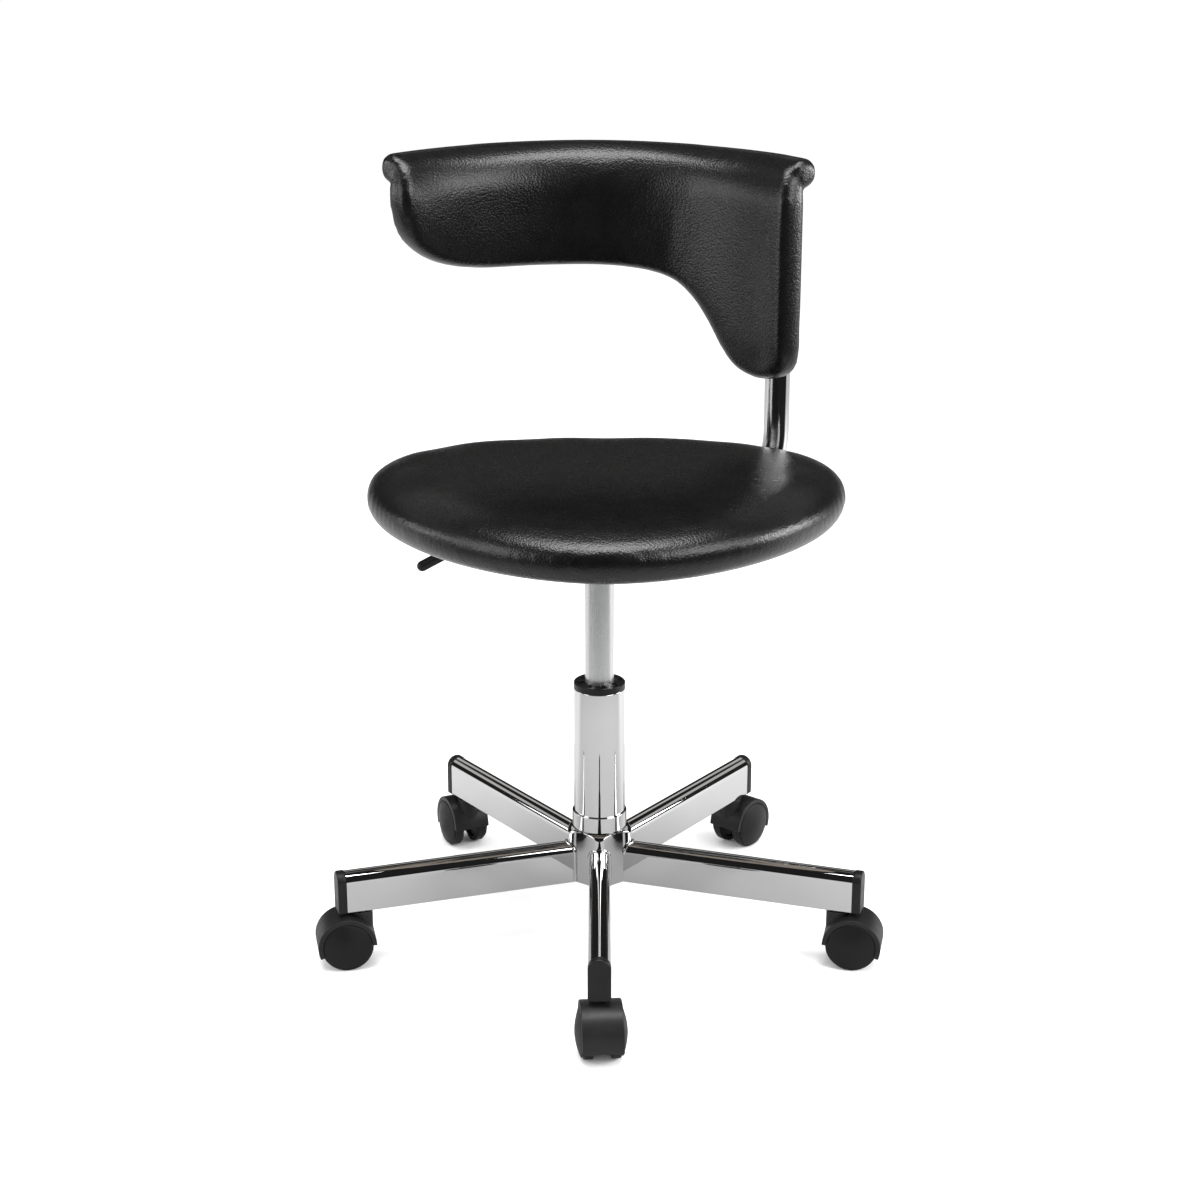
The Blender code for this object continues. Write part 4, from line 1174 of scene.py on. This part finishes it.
def build_world():
    """White room for the camera and diffuse light. Glossy surfaces mirror dark walls instead, with a
    light line along the sides and the back."""
    world = bpy.data.worlds.new("studio")
    world.use_nodes = True
    world.cycles.sampling_method = "NONE"
    tree = world.node_tree
    direction = tree.nodes.new("ShaderNodeTexCoord").outputs["Generated"]
    height = tree.nodes.new("ShaderNodeSeparateXYZ")
    tree.links.new(direction, height.inputs[0])
    tones = tree.nodes.new("ShaderNodeValToRGB")
    ramp = tones.color_ramp
    while len(ramp.elements) < len(WALL_TONES):
        ramp.elements.new(0.5)
    for element, (sine, tone) in zip(ramp.elements, WALL_TONES):
        element.position = sine
        element.color = (tone, tone * 0.985, tone * 0.96, 1.0)
    tree.links.new(height.outputs["Z"], tones.inputs["Fac"])
    path = tree.nodes.new("ShaderNodeLightPath")
    mix = tree.nodes.new("ShaderNodeMix")
    mix.data_type = "RGBA"
    tree.links.new(path.outputs["Is Glossy Ray"], mix.inputs["Factor"])
    mix.inputs[MIX_A].default_value = (ROOM_TONE, ROOM_TONE, ROOM_TONE, 1.0)
    behind = tree.nodes.new("ShaderNodeMapRange")
    behind.inputs["From Min"].default_value = -0.35
    behind.inputs["From Max"].default_value = 0.0
    tree.links.new(height.outputs["Y"], behind.inputs["Value"])
    walls = tree.nodes.new("ShaderNodeMix")
    walls.data_type = "RGBA"
    walls.inputs[MIX_A].default_value = (0.02, 0.02, 0.02, 1.0)
    tree.links.new(behind.outputs["Result"], walls.inputs["Factor"])
    tree.links.new(tones.outputs["Color"], walls.inputs[MIX_B])
    tree.links.new(walls.outputs[MIX_RESULT], mix.inputs[MIX_B])
    tree.links.new(mix.outputs[MIX_RESULT], tree.nodes["Background"].inputs["Color"])
    bpy.context.scene.world = world


def build_lights():
    for box in SOFTBOXES:
        softbox(*box)
    build_world()


def build_camera():
    """The camera stands in front of the column and looks down at it."""
    distance = 2.190
    tilt = math.radians(18.3)
    aim = COLUMN + Vector((0.0005, 0.0, 0.3448))
    data = bpy.data.cameras.new("camera")
    data.sensor_width = 36.0
    data.lens = 68.76
    camera = bpy.data.objects.new("camera", data)
    bpy.context.scene.collection.objects.link(camera)
    camera.location = aim + distance * Vector((0, -math.cos(tilt), math.sin(tilt)))
    camera.rotation_euler = (aim - camera.location).to_track_quat("-Z", "Y").to_euler()
    bpy.context.scene.camera = camera


def main():
    dress_nodes()
    build_hub()
    for number in range(1, ARM_COUNT + 1):
        build_arm(number)
        build_caster(number)
    build_column()
    build_bush()
    build_gas_spring()
    build_back_tube()
    build_swing_ring()
    build_lever()
    build_seat()
    build_pad()
    build_shell()
    build_floor()
    build_lights()
    build_camera()
    bpy.context.scene.view_settings.view_transform = "Standard"


main()
